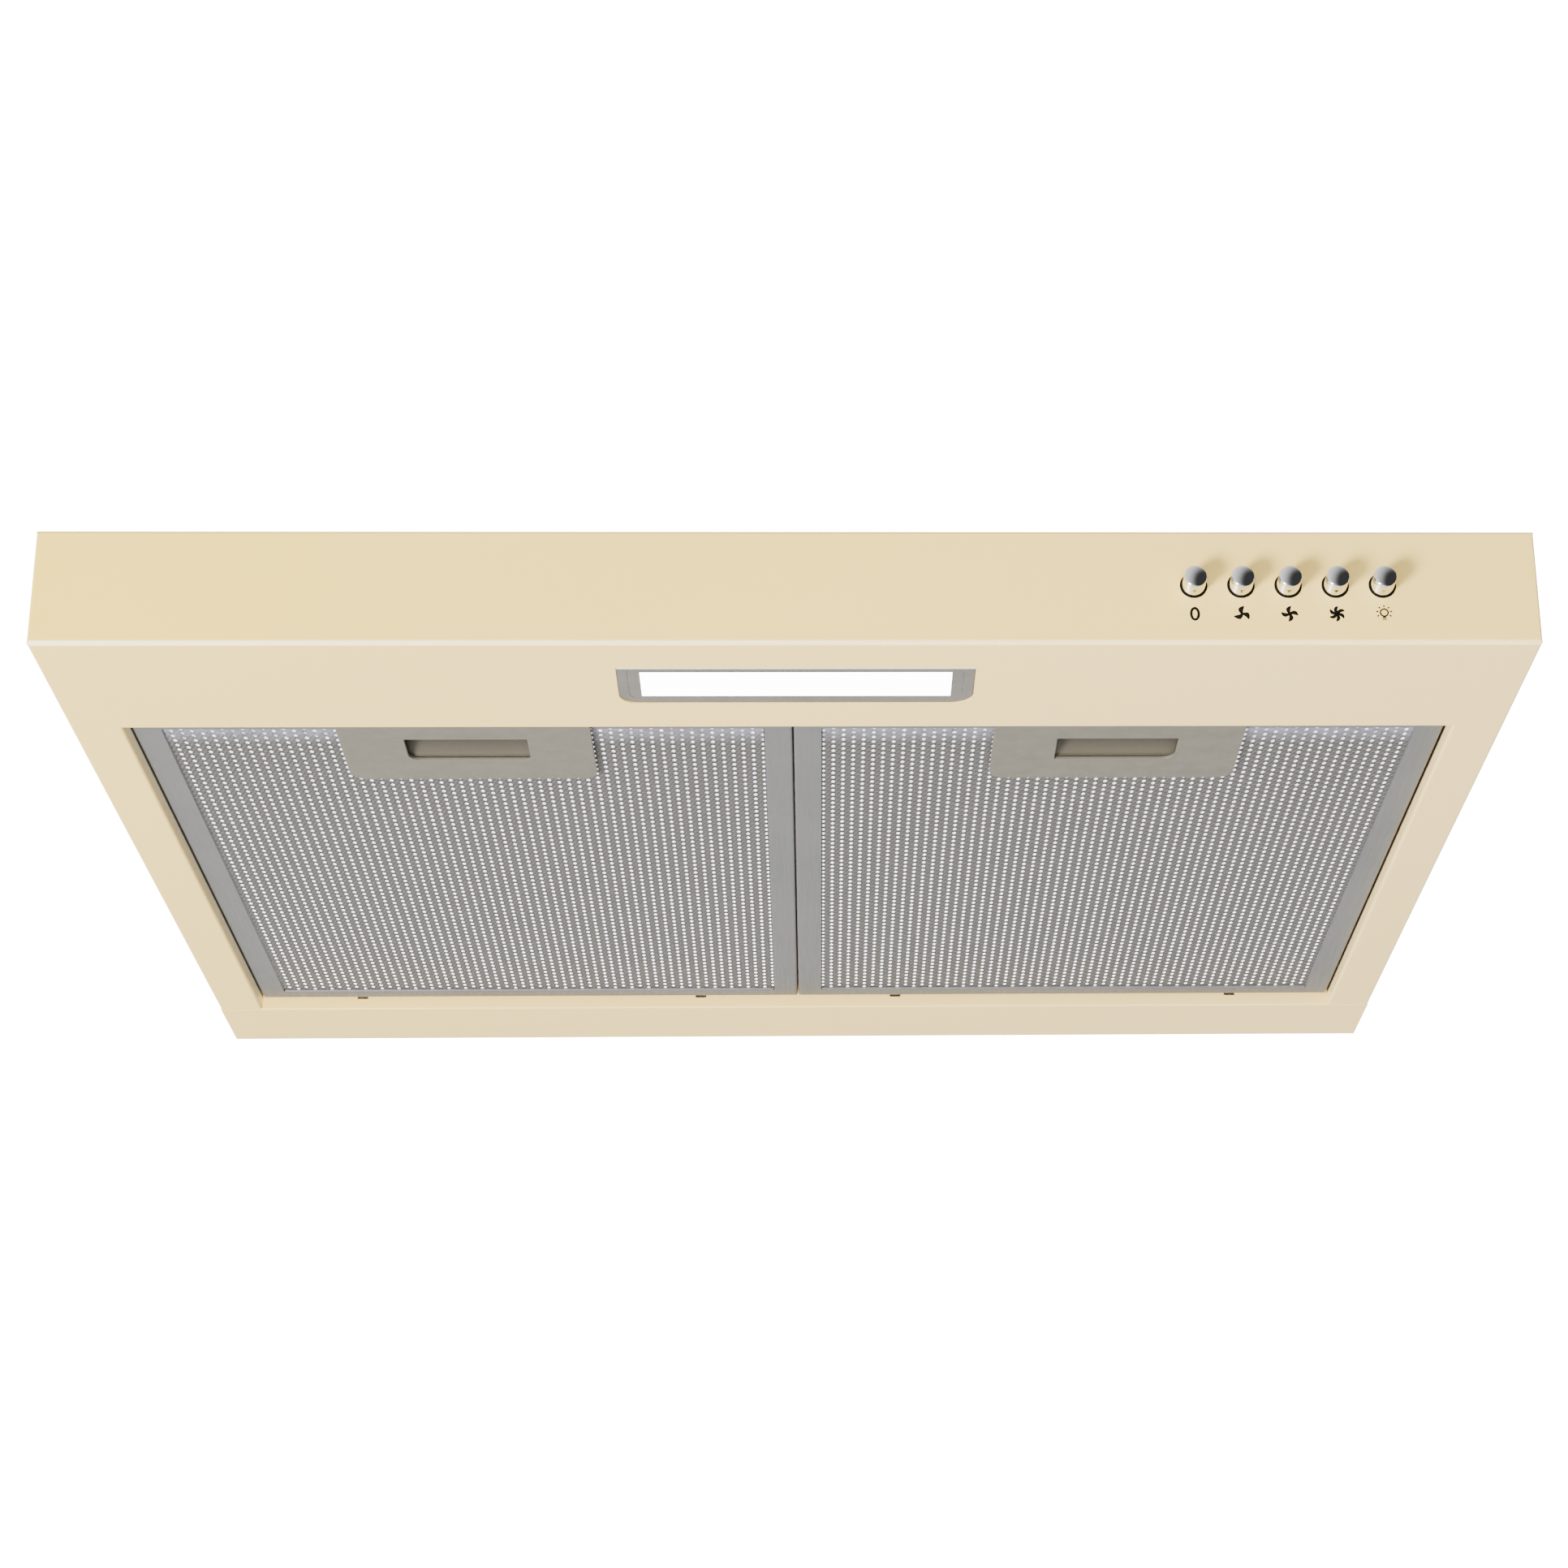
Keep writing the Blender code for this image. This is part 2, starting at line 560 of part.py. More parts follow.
def turned_about_y(profile, x, z, sides=20):
    """Spins a (radius, y) profile that starts and ends on the axis through x, z along y."""
    bm = bmesh.new()
    verts = [bm.verts.new((x + r, y, z)) for r, y in profile]
    edges = [bm.edges.new(pair) for pair in zip(verts, verts[1:])]
    bmesh.ops.spin(bm, geom=verts + edges, cent=(x, 0, z), axis=(0, 1, 0), angle=2 * math.pi,
                   steps=sides, use_merge=True, use_duplicate=False)
    bmesh.ops.remove_doubles(bm, verts=bm.verts, dist=0.001)
    return bm


def make_button_spring(number, x):
    """Return spring between the button's end and the bottom of its bore."""
    turns, per_turn, coil_r, wire_r = 4, 9, 3.2, 0.35
    start, end = 9.0 + 0.8, 18.0 - 0.8
    points = []
    for i in range(turns * per_turn + 1):
        angle = 2 * math.pi * i / per_turn
        y = start + (end - start) * i / (turns * per_turn)
        points.append((x + coil_r * math.cos(angle), y, BUTTON_Z + coil_r * math.sin(angle)))
    name = f"button_spring_{number}"
    curve = bpy.data.curves.new(name, "CURVE")
    curve.dimensions = "3D"
    curve.bevel_depth = wire_r * MM
    curve.bevel_resolution = 0
    curve.use_fill_caps = True
    spline = curve.splines.new("POLY")
    spline.points.add(len(points) - 1)
    for point, place in zip(spline.points, points):
        point.co = (*layout(*place), 1.0)
    curve.materials.append(material(name, "spring_steel"))
    obj = bpy.data.objects.new(name, curve)
    bpy.context.collection.objects.link(obj)


# Grease filters --------------------------------------------------------------------------

def make_filter(side, label):
    """One cassette: rails, three layers of metal, the handle and its latch."""
    cx = side * FILTER_X
    pivot = (cx, HINGE_Y, HINGE_Z)
    x0, x1 = cx - FILTER_W / 2, cx + FILTER_W / 2
    z0, z1 = FILTER_Z, FILTER_Z + FILTER_T
    frame = add_object(f"filter_frame_{label}", box(x0, x1, FILTER_Y0, FILTER_Y1, z0, z1),
                       "aluminium", pivot)
    cut(frame, box(x0 + RAIL_W, x1 - RAIL_W, FILTER_Y0 + RAIL_W, FILTER_Y1 - REAR_RAIL_W,
                   z0 - 1, z1 + 1))
    cut(frame, box(cx - HOUSING_HALF - GAP, cx + HOUSING_HALF + GAP, FILTER_Y0 - 1,
                   HOUSING_Y1 + GAP, z0 - 1, HOUSING_TOP + GAP))
    for offset in (-TAB_OFFSET, TAB_OFFSET):
        join(frame, box(cx + offset - TAB_W / 2, cx + offset + TAB_W / 2, FILTER_Y1 - 2,
                        HINGE_Y + 2.5, HINGE_Z - 0.5, HINGE_Z + 0.5))
    make_filter_layers(cx, label, pivot)
    make_handle(cx, label, pivot)
    make_latch(cx, label)


def make_filter_layers(cx, label, pivot):
    """Lower mesh, middle pad and upper mesh, each with a cut-out round the handle housing."""
    half = FILTER_W / 2 - RAIL_W - GAP
    y0, y1 = FILTER_Y0 + RAIL_W + GAP, FILTER_Y1 - REAR_RAIL_W - GAP
    layers = (("filter_mesh", 0.6, 1.4), ("filter_pad", 3.6, 5.1), ("filter_back", 7.4, 8.2))
    for name, low, high in layers:
        z0, z1 = FILTER_Z + low, FILTER_Z + high
        layer = add_object(f"{name}_{label}", box(cx - half, cx + half, y0, y1, z0, z1), "mesh", pivot)
        cut(layer, box(cx - HOUSING_HALF - GAP, cx + HOUSING_HALF + GAP, y0 - 1,
                       HOUSING_Y1 + GAP, z0 - 1, z1 + 1))


def handle_outline(cx):
    r = 4.5
    left, right = cx - HANDLE_HALF, cx + HANDLE_HALF
    front = FILTER_Y0 + GAP
    return [(left, front), (right, front), *arc(right - r, HANDLE_Y1 - r, r, 0, 90, 4),
            *arc(left + r, HANDLE_Y1 - r, r, 90, 180, 4)]


def make_handle(cx, label, pivot):
    """Cover plate with a finger slot, and the open-topped housing that guides the latch."""
    plate_top = HANDLE_Z + HANDLE_T
    front = FILTER_Y0 + GAP
    wall = HOUSING_WALL
    handle = add_object(f"filter_handle_{label}", prism(handle_outline(cx), "Z", HANDLE_Z, plate_top),
                        "handle_grey", pivot)
    join(handle, box(cx - HOUSING_HALF, cx + HOUSING_HALF, front, HOUSING_Y1, plate_top - 0.5,
                     HOUSING_TOP))
    cut(handle, box(cx - HOUSING_HALF + wall, cx + HOUSING_HALF - wall, front + 9.0,
                    HOUSING_Y1 - wall, plate_top, HOUSING_TOP + 1),
        box(cx - TONGUE_HALF - GAP, cx + TONGUE_HALF + GAP, front - 1, front + 12,
            plate_top, HOUSING_TOP + 1),
        box(cx - SLOT_HALF, cx + SLOT_HALF, SLOT_Y0, SLOT_Y1, HANDLE_Z - 1, plate_top + 1))


def make_latch(cx, label):
    """Sprung slide with a scooped finger pull and a nose that bears on the front flange."""
    inside = HOUSING_HALF - HOUSING_WALL - GAP
    y0 = FILTER_Y0 + GAP + 9.0 + GAP
    y1 = HOUSING_Y1 - HOUSING_WALL - GAP - LATCH_TRAVEL
    z0, z1 = HANDLE_Z + HANDLE_T + GAP, HOUSING_TOP - GAP
    latch = add_object(f"filter_latch_{label}", box(cx - inside, cx + inside, y0, y1, z0, z1),
                       "handle_grey", pivot=(cx, LIP_Y, HINGE_Z))
    nose = LIP_Y + GAP
    join(latch, box(cx - TONGUE_HALF, cx + TONGUE_HALF, nose, y0 + 1, z0 + 0.4, z1 - 1.5))
    scoop_half = inside - 1.5
    scoop = [(y0 + 2, z0 - 1), (y0 + 2, z1 - 1.2), (SLOT_Y0 + 5, z1 - 1.2), (SLOT_Y1 - 1, z0 + 0.6),
             (SLOT_Y1 - 0.5, z0 - 1)]
    cut(latch, prism(scoop, "X", cx - scoop_half, cx + scoop_half))


# Leads -----------------------------------------------------------------------------------

def make_leads():
    top = HEIGHT - 9.0
    tube("motor_lead", [(195, 30.4, 26), (195, 60, 30), (150, 120, 36), (60, 175, 36),
                        (25, 208, 52), (10, 220, 85), (-5, 226, 112), (-35, 238, top), (-90, 266, top),
                        (FAN_X + 24, FAN_Y - 44, top), (FAN_X + 18, FAN_Y - 34, 122.8),
                        (FAN_X + 18, FAN_Y - 34, 118.8)],
         2.0, "lead")
    tube("supply_lead", [(225, 30.4, 26), (225, 60, 30), (226, 120, 34), (228, 175, 34),
                         (230, 208, 48), (230, 225, 72), (230, 260, 92), (230, 330, 103),
                         (230, GLAND_Y - 50, 108), (230, GLAND_Y - 38.6, 108)],
         2.5, "lead")
    tube("lamp_lead", [(-10, 95.4, 36), (-10, 84, 36), (-10, 66, 32), (-12, 50, 26), (-12, 42, 20)],
         1.5, "lead")


def main():
    clear_scene()
    make_canopy()
    make_rear_panel()
    make_top_plate()
    make_collar()
    make_flaps()
    make_blower_housing()
    make_inlet_guard()
    make_impeller()
    make_motor()
    make_capacitor()
    make_terminal_box()
    make_lamp()
    make_buttons()
    make_filter(-1, "left")
    make_filter(1, "right")
    make_leads()


main()
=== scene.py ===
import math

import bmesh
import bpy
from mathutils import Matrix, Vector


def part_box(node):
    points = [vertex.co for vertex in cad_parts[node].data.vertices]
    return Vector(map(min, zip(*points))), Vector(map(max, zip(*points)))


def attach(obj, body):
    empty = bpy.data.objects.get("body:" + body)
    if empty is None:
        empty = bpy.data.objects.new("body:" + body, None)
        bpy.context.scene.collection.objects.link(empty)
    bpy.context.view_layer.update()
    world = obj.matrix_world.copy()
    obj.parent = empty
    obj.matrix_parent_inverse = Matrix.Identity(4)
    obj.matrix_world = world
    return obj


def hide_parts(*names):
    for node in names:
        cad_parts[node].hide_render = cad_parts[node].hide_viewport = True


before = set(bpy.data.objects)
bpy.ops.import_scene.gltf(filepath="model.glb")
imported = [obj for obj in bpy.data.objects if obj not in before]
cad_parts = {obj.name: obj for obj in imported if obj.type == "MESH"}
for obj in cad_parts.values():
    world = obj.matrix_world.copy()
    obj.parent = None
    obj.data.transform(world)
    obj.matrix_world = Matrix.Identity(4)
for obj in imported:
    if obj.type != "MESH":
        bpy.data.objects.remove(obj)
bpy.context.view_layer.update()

# %% [markdown]
# This file dresses the frame of an under cabinet range hood. The frame gives every node in
# metres, with the origin on the top plate. Sizes below are in millimetres in the hood's own
# layout: x to the right, y back from the fascia, z up from the underside. Two corners of the
# frame tell where that layout starts, so that every new piece goes where the frame says.

MM = 0.001
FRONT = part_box("canopy")[0].y
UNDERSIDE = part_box("canopy")[0].z


def at(x, y, z):
    """A point of the hood's layout in metres."""
    return Vector((x * MM, FRONT + y * MM, UNDERSIDE + z * MM))


def layout(point):
    """The other way: a point in metres as hood millimetres."""
    return Vector((point.x, point.y - FRONT, point.z - UNDERSIDE)) / MM


bpy.ops.object.select_all(action="DESELECT")

# %% [markdown]
# Modelling by hand is a chain of small steps: add a primitive, go into edit mode, pick some
# faces or edges, pull or move them. In code a face is picked by its place and by the way it
# looks, because a script has no mouse. These short helpers are those steps.

# %% Picking and pulling


def only(obj):
    """Leaves edit mode and selects one object."""
    if bpy.context.object and bpy.context.object.mode != "OBJECT":
        bpy.ops.object.mode_set(mode="OBJECT")
    bpy.ops.object.select_all(action="DESELECT")
    if obj:
        obj.select_set(True)
        bpy.context.view_layer.objects.active = obj
    return obj


def edit(obj):
    """Enters edit mode with everything selected."""
    only(obj)
    bpy.ops.object.mode_set(mode="EDIT")
    bpy.ops.mesh.select_mode(type="VERT")
    bpy.ops.mesh.select_all(action="SELECT")


def pick(kind, test):
    """Selects the faces, edges or verts whose layout place and direction pass the test."""
    mesh = bpy.context.object.data
    bpy.ops.mesh.select_mode(type=kind[:-1].upper())
    bpy.ops.mesh.select_all(action="DESELECT")
    shape = bmesh.from_edit_mesh(mesh)
    for item in getattr(shape, kind):
        if kind == "faces":
            place, way = item.calc_center_bounds(), item.normal
        elif kind == "edges":
            a, b = (vert.co for vert in item.verts)
            place, way = (a + b) / 2, (b - a).normalized()
        else:
            place, way = item.co, item.normal
        if test(layout(place), way):
            item.select_set(True)
    shape.select_flush_mode()
    bmesh.update_edit_mesh(mesh)


def pull(x=0.0, y=0.0, z=0.0):
    """Extrudes what is picked."""
    bpy.ops.mesh.extrude_region_move(TRANSFORM_OT_translate={"value": (x * MM, y * MM, z * MM)})


def shift(x=0.0, y=0.0, z=0.0):
    bpy.ops.transform.translate(value=(x * MM, y * MM, z * MM))


def squeeze(centre, x=1.0, y=1.0, z=1.0):
    bpy.ops.transform.resize(value=(x, y, z), center_override=centre)


def round_edges(radius, steps):
    bpy.ops.mesh.bevel(offset=radius * MM, segments=steps, affect="EDGES", clamp_overlap=False)


def slice_x(x, **ends):
    bpy.ops.mesh.bisect(plane_co=at(x, 0, 0), plane_no=(1, 0, 0), **ends)


def slice_y(y, **ends):
    bpy.ops.mesh.bisect(plane_co=at(0, y, 0), plane_no=(0, 1, 0), **ends)


def near(a, b, slack=0.05):
    return abs(a - b) < slack


print("helpers ready")

# %% [markdown]
# A finished piece sits at the origin with its place in its mesh, as the frame's nodes do.
# Pieces are cut and joined with Boolean modifiers that are applied at once. A pressed or
# moulded edge is never knife sharp, so nearly every piece ends with a narrow bevel, and its
# wide faces keep flat shading with weighted normals.

# %% Starting and finishing a piece


def named(name):
    obj = bpy.context.object
    obj.name = obj.data.name = name
    bpy.ops.object.transform_apply(location=True, rotation=True, scale=True)
    return obj


def block(name, x0, x1, y0, y1, z0, z1):
    only(None)
    low, high = at(x0, y0, z0), at(x1, y1, z1)
    bpy.ops.mesh.primitive_cube_add(size=1, location=(low + high) / 2, scale=high - low)
    return named(name)


def round_bar(name, place, radius, length, axis="Z", sides=32):
    """A round bar that is centred on the place."""
    only(None)
    turn = {"X": (0, math.pi / 2, 0), "Y": (math.pi / 2, 0, 0), "Z": (0, 0, 0)}[axis]
    bpy.ops.mesh.primitive_cylinder_add(vertices=sides, radius=radius * MM, depth=length * MM,
                                        location=at(*place), rotation=turn)
    return named(name)


def apply_all(obj):
    only(obj)
    for modifier in list(obj.modifiers):
        bpy.ops.object.modifier_apply(modifier=modifier.name)
    return obj


def carve(obj, *tools, how="DIFFERENCE"):
    """Cuts the tools out of a piece, or joins them to it, and removes them."""
    for tool in tools:
        step = obj.modifiers.new("Shape", "BOOLEAN")
        step.operation, step.solver, step.object = how, "EXACT", tool
        apply_all(obj)
        bpy.data.objects.remove(tool, do_unlink=True)
    return obj


def face_out(obj):
    """Joins doubled points and turns every face outwards."""
    edit(obj)
    bpy.ops.mesh.remove_doubles(threshold=0.002 * MM)
    bpy.ops.mesh.normals_make_consistent(inside=False)
    return only(obj)


def turn_round(obj, backwards):
    """Flips an open sheet whose faces point inwards."""
    if backwards:
        edit(obj)
        bpy.ops.mesh.flip_normals()
        only(obj)


def thicken(obj, thickness):
    wall = obj.modifiers.new("Wall", "SOLIDIFY")
    wall.thickness, wall.offset, wall.use_even_offset = thickness * MM, -1.0, True
    return apply_all(obj)


def soften(obj, radius=0.3, steps=2, limit=38.0):
    edges = obj.modifiers.new("Edges", "BEVEL")
    edges.width, edges.segments = radius * MM, steps
    edges.limit_method, edges.angle_limit = "ANGLE", math.radians(limit)
    apply_all(obj)
    return smooth(obj, limit)


def smooth(obj, limit=38.0, weighted=True):
    only(obj)
    bpy.ops.object.shade_smooth_by_angle(angle=math.radians(limit))
    if weighted:
        obj.modifiers.new("Weights", "WEIGHTED_NORMAL").keep_sharp = True
        apply_all(obj)
    return obj


def copy_of(obj, name, x=0.0, mirrored=False):
    """A copy with its own mesh, moved along x or mirrored across the hood's middle."""
    only(obj)
    bpy.ops.object.duplicate()
    twin = bpy.context.object
    if mirrored:
        twin.scale.x = -1.0
    twin.location.x = x * MM
    named(name)
    return face_out(twin) if mirrored else twin


def seat(obj, body, *nodes, slot=None):
    """Puts a finished piece on its body, in place of the frame's plain nodes."""
    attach(obj, body)
    if nodes:
        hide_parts(*nodes)
    faces = sum(len(face.vertices) - 2 for face in obj.data.polygons)
    print(f"{obj.name}: {faces} triangles on {body}")


# %% [markdown]
# The camera looks up at the hood from below its front edge, a little over a metre away,
# through a long lens. It could be aimed with a Track To constraint, but three angles in a
# matrix are plain to read and don't depend on another object.

# %% Camera


def turn_matrix(yaw, pitch, roll):
    """Camera axes for a view that starts along +Y, in degrees."""
    yaw, pitch, roll = map(math.radians, (yaw, pitch, roll))
    level = math.cos(pitch)
    ahead = Vector((math.sin(yaw) * level, math.cos(yaw) * level, math.sin(pitch)))
    right = Vector((math.cos(yaw), -math.sin(yaw), 0.0))
    up = right.cross(ahead)
    side = math.cos(roll) * right + math.sin(roll) * up
    top = math.cos(roll) * up - math.sin(roll) * right
    return Matrix((side, top, -ahead)).transposed()


only(None)
bpy.ops.object.camera_add(location=at(10.1, -1198.5, -546.3))
camera = bpy.context.object
camera.name = "studio_camera"
camera.rotation_euler = turn_matrix(2.322, 21.91, -0.998).to_euler()
camera.data.lens = 76.26
camera.data.shift_x, camera.data.shift_y = -0.1007, 0.0058
camera.data.clip_start, camera.data.clip_end = 0.05, 50.0
bpy.context.scene.camera = camera
print("camera", [round(v, 3) for v in camera.location], "lens", camera.data.lens)

# %% [markdown]
# The surround is a white studio. It is dimmer towards the front right, because bright chrome
# and aluminium need something darker to mirror, or they look like plaster. The camera itself
# sees a plain white backdrop, which a Light Path node swaps in for its rays alone.

# %% White surround
DIM_SIDE = Vector((0.80, -0.58, -0.12))
BACKDROP_STRENGTH = 24.0

world = bpy.data.worlds.new("white_studio")
world.use_nodes = True
tree = world.node_tree
surround = tree.nodes["Background"]
surround.inputs["Color"].default_value = (1.0, 0.99, 0.98, 1.0)
sky = tree.nodes.new("ShaderNodeTexCoord").outputs["Generated"]
toward = tree.nodes.new("ShaderNodeVectorMath")
toward.operation = "DOT_PRODUCT"
tree.links.new(sky, toward.inputs[0])
toward.inputs[1].default_value = DIM_SIDE
shade = tree.nodes.new("ShaderNodeMapRange")
shade.interpolation_type = "SMOOTHSTEP"
for socket, value in (("From Min", -0.2), ("From Max", 0.75), ("To Min", 1.35), ("To Max", 0.05)):
    shade.inputs[socket].default_value = value
tree.links.new(toward.outputs["Value"], shade.inputs["Value"])
tree.links.new(shade.outputs[0], surround.inputs["Strength"])
backdrop = tree.nodes.new("ShaderNodeBackground")
backdrop.inputs["Strength"].default_value = BACKDROP_STRENGTH
seen = tree.nodes.new("ShaderNodeLightPath").outputs["Is Camera Ray"]
both = tree.nodes.new("ShaderNodeMixShader")
tree.links.new(seen, both.inputs[0])
tree.links.new(surround.outputs[0], both.inputs[1])
tree.links.new(backdrop.outputs[0], both.inputs[2])
tree.links.new(both.outputs[0], tree.nodes["World Output"].inputs["Surface"])
bpy.context.scene.world = world
print("surround has", len(tree.nodes), "nodes")

# %% [markdown]
# Three soft disks of light. The key lamp stands low in front on the left and lays faint shadows
# above the buttons, a weak lamp lifts the underside, and a very wide one in front fills the
# rest. The fill and the floor are hidden from mirror reflections, so that the chrome mirrors
# mostly the surround. A sun lamp would be simpler, but its shadows have hard edges.

# %% Soft lamps


def soft_lamp(name, place, aim, width, power, colour):
    only(None)
    bpy.ops.object.light_add(type="AREA", location=at(*place))
    lamp = bpy.context.object
    lamp.name = name
    lamp.data.shape, lamp.data.size, lamp.data.energy = "DISK", width, power
    lamp.data.color = colour
    lamp.rotation_euler = (at(*aim) - at(*place)).to_track_quat("-Z", "Y").to_euler()
    return lamp


WARM, NEUTRAL, WARMER = (1.0, 0.985, 0.96), (1.0, 1.0, 1.0), (1.0, 0.98, 0.94)
HOOD_FRONT = (60, 150, 20)

KEY_LAMP = soft_lamp("key_lamp", (-1900, -1750, -1750), HOOD_FRONT, 0.95, 345.0, WARM)
soft_lamp("under_lamp", (-150, 0, -1700), (0, 260, 0), 1.1, 3.0, NEUTRAL)
fill = soft_lamp("fill_lamp", (500, -2800, -700), (0, 150, 20), 2.2, 62.0, WARMER)
fill.visible_glossy = False
print("key lamp", KEY_LAMP.data.energy, "W, fill lamp", fill.data.energy, "W")

# %% Floor
FLOOR_WIDE, FLOOR_HEIGHT = 14.0, -2.3   # metres

only(None)
bpy.ops.mesh.primitive_plane_add(size=FLOOR_WIDE, location=(0, 0, FLOOR_HEIGHT))
floor = named("studio_floor")
edit(floor)
bpy.ops.mesh.subdivide(number_cuts=1)
only(floor)
floor.visible_glossy = False
print("floor at", round(floor.data.vertices[0].co.z, 2), "m")

# %% [markdown]
# Finishes. Each one is a small graph of nodes on Object coordinates, so its grain has a real
# size in millimetres and stays on its piece. The helpers make a graph short to write: one adds
# a noise, one maps a value to two colours, one turns a value into relief.

# %% Finish helpers


def rgb(red, green, blue):
    """Screen colour from 0 to 255 as the linear colour that a shader takes."""
    return (*((c / 255 / 12.92 if c <= 10 else ((c / 255 + 0.055) / 1.055) ** 2.4)
              for c in (red, green, blue)), 1.0)


class Finish:
    """A material and short ways to add nodes to it."""

    def __init__(self, name, roughness=0.5, metallic=0.0, **sockets):
        self.material = bpy.data.materials.new(name)
        self.material.use_nodes = True
        self.tree = self.material.node_tree
        self.shader = self.tree.nodes["Principled BSDF"]
        self.shader.inputs["Roughness"].default_value = roughness
        self.shader.inputs["Metallic"].default_value = metallic
        for socket, value in sockets.items():
            self.shader.inputs[socket.replace("_", " ")].default_value = value
        self.place = self.tree.nodes.new("ShaderNodeTexCoord").outputs["Object"]

    def node(self, kind, links=(), **values):
        made = self.tree.nodes.new("ShaderNode" + kind)
        for key, value in values.items():
            setattr(made, key, value)
        for socket, source in dict(links).items():
            if hasattr(source, "links"):
                self.tree.links.new(source, made.inputs[socket])
            else:
                made.inputs[socket].default_value = source
        return made

    def stretched(self, x, y, z):
        return self.node("Mapping", {"Vector": self.place, "Scale": (x, y, z)}).outputs[0]

    def noise(self, per_metre, detail=2.0, along=None):
        source = self.stretched(*along) if along else self.place
        links = {"Vector": source, "Scale": per_metre, "Detail": detail}
        return self.node("TexNoise", links).outputs[0]

    def cells(self, per_metre, output="Distance", feature="F1"):
        links = {"Vector": self.place, "Scale": per_metre}
        return self.node("TexVoronoi", links, feature=feature).outputs[output]

    def wave(self, x, y, z=0.0, phase=0.0):
        """A sine wave whose crests are 1/x apart along x, and so on, in 1/mm."""
        way = tuple(v * 2 * math.pi / MM for v in (x, y, z))
        run = self.node("VectorMath", {0: self.place, 1: way}, operation="DOT_PRODUCT")
        moved = self.node("Math", {0: run.outputs["Value"], 1: phase}, operation="ADD").outputs[0]
        return self.node("Math", {0: moved}, operation="SINE").outputs[0]

    def stripes(self, x, y, z=0.0, phase=0.0):
        return self.remap(self.wave(x, y, z, phase), -1.0, 1.0)

    def times(self, first, second):
        return self.node("Math", {0: first, 1: second}, operation="MULTIPLY").outputs[0]

    def fade(self, axis, start, end):
        """0 at the layout's start and 1 at its end, along x, y or z."""
        along = self.node("SeparateXYZ", {0: self.place}).outputs["XYZ"[axis]]
        return self.remap(along, at(start, start, start)[axis], at(end, end, end)[axis])

    def remap(self, value, low, high, to_low=0.0, to_high=1.0):
        links = {"Value": value, "From Min": low, "From Max": high,
                 "To Min": to_low, "To Max": to_high}
        return self.node("MapRange", links).outputs[0]

    def mixed(self, factor, first, second):
        links = {0: factor, 6: first, 7: second}
        return self.node("Mix", links, data_type="RGBA").outputs[2]

    def colour(self, source):
        self.tree.links.new(source, self.shader.inputs["Base Color"])
        return self

    def rough(self, value, low, high, smooth_at=0.3, rough_at=0.7):
        mapped = self.remap(value, smooth_at, rough_at, low, high)
        self.tree.links.new(mapped, self.shader.inputs["Roughness"])
        return self

    def relief(self, value, strength, depth_mm):
        links = {"Height": value, "Strength": strength, "Distance": depth_mm * MM}
        bump = self.node("Bump", links).outputs[0]
        self.tree.links.new(bump, self.shader.inputs["Normal"])
        return self


def paint(obj, *finishes):
    obj.data.materials.clear()
    for finish in finishes:
        obj.data.materials.append(finish.material)
    return obj


print("finish helpers ready")

# %% [markdown]
# The body is sheet steel with a warm cream enamel. Sprayed enamel has a very fine orange peel,
# slightly uneven gloss, and cloudy changes of tone that the eye only just sees. The stronger
# yellow of the fascia and the slow fade from left to right stand in for light and reflections
# that three lamps don't give. They follow the hood's own places, so they stay on the sheet.

# %% Cream enamel


def cream_enamel():
    made = Finish("cream_enamel", roughness=0.4, Coat_Weight=0.12, Coat_Roughness=0.25)
    cloud = made.remap(made.noise(5.0, 3.0), 0.3, 0.7, 0.0, 0.2)
    across = made.fade(0, -300, 200)
    below = made.mixed(across, rgb(234, 202, 109), rgb(237, 206, 130))
    front = made.mixed(across, rgb(240, 207, 89), rgb(240, 208, 117))
    even = made.mixed(made.fade(1, 4, 1), below, front)
    base = made.mixed(cloud, even, rgb(241, 210, 124))
    speck = made.remap(made.noise(2600.0, 1.0), 0.62, 0.78)
    made.colour(made.mixed(speck, base, rgb(234, 202, 123)))
    made.rough(made.noise(40.0, 3.0), 0.36, 0.46)
    return made.relief(made.noise(700.0, 2.0), 0.12, 0.03)


def fold_painted_highlight():
    """Painted highlight: a paler, glossier enamel on the front fold and the lower flange walls."""
    made = Finish("fold_painted_highlight", roughness=0.3, Coat_Weight=0.3, Coat_Roughness=0.2)
    # Painted highlight: palest on the left, fading towards the right.
    pale = made.mixed(made.fade(0, -260, 240), rgb(250, 236, 190), rgb(243, 214, 142))
    made.colour(made.mixed(made.noise(300.0, 2.0), pale, rgb(245, 222, 160)))
    made.rough(made.noise(60.0, 3.0), 0.25, 0.36)
    return made.relief(made.noise(700.0, 2.0), 0.1, 0.02)


def gap_shade_finish():
    """Painted shade: dark brown on the flange walls behind the opening's edge, for the gaps."""
    made = Finish("brown_primer", roughness=0.6)
    made.colour(made.mixed(made.noise(30.0, 3.0), rgb(74, 60, 42), rgb(58, 47, 34)))
    made.rough(made.noise(80.0, 2.0), 0.5, 0.7)
    return made.relief(made.noise(500.0, 2.0), 0.15, 0.03)


CREAM, FOLD_HIGHLIGHT, GAP_SHADE = cream_enamel(), fold_painted_highlight(), gap_shade_finish()
print("made", CREAM.material.name, FOLD_HIGHLIGHT.material.name, GAP_SHADE.material.name)
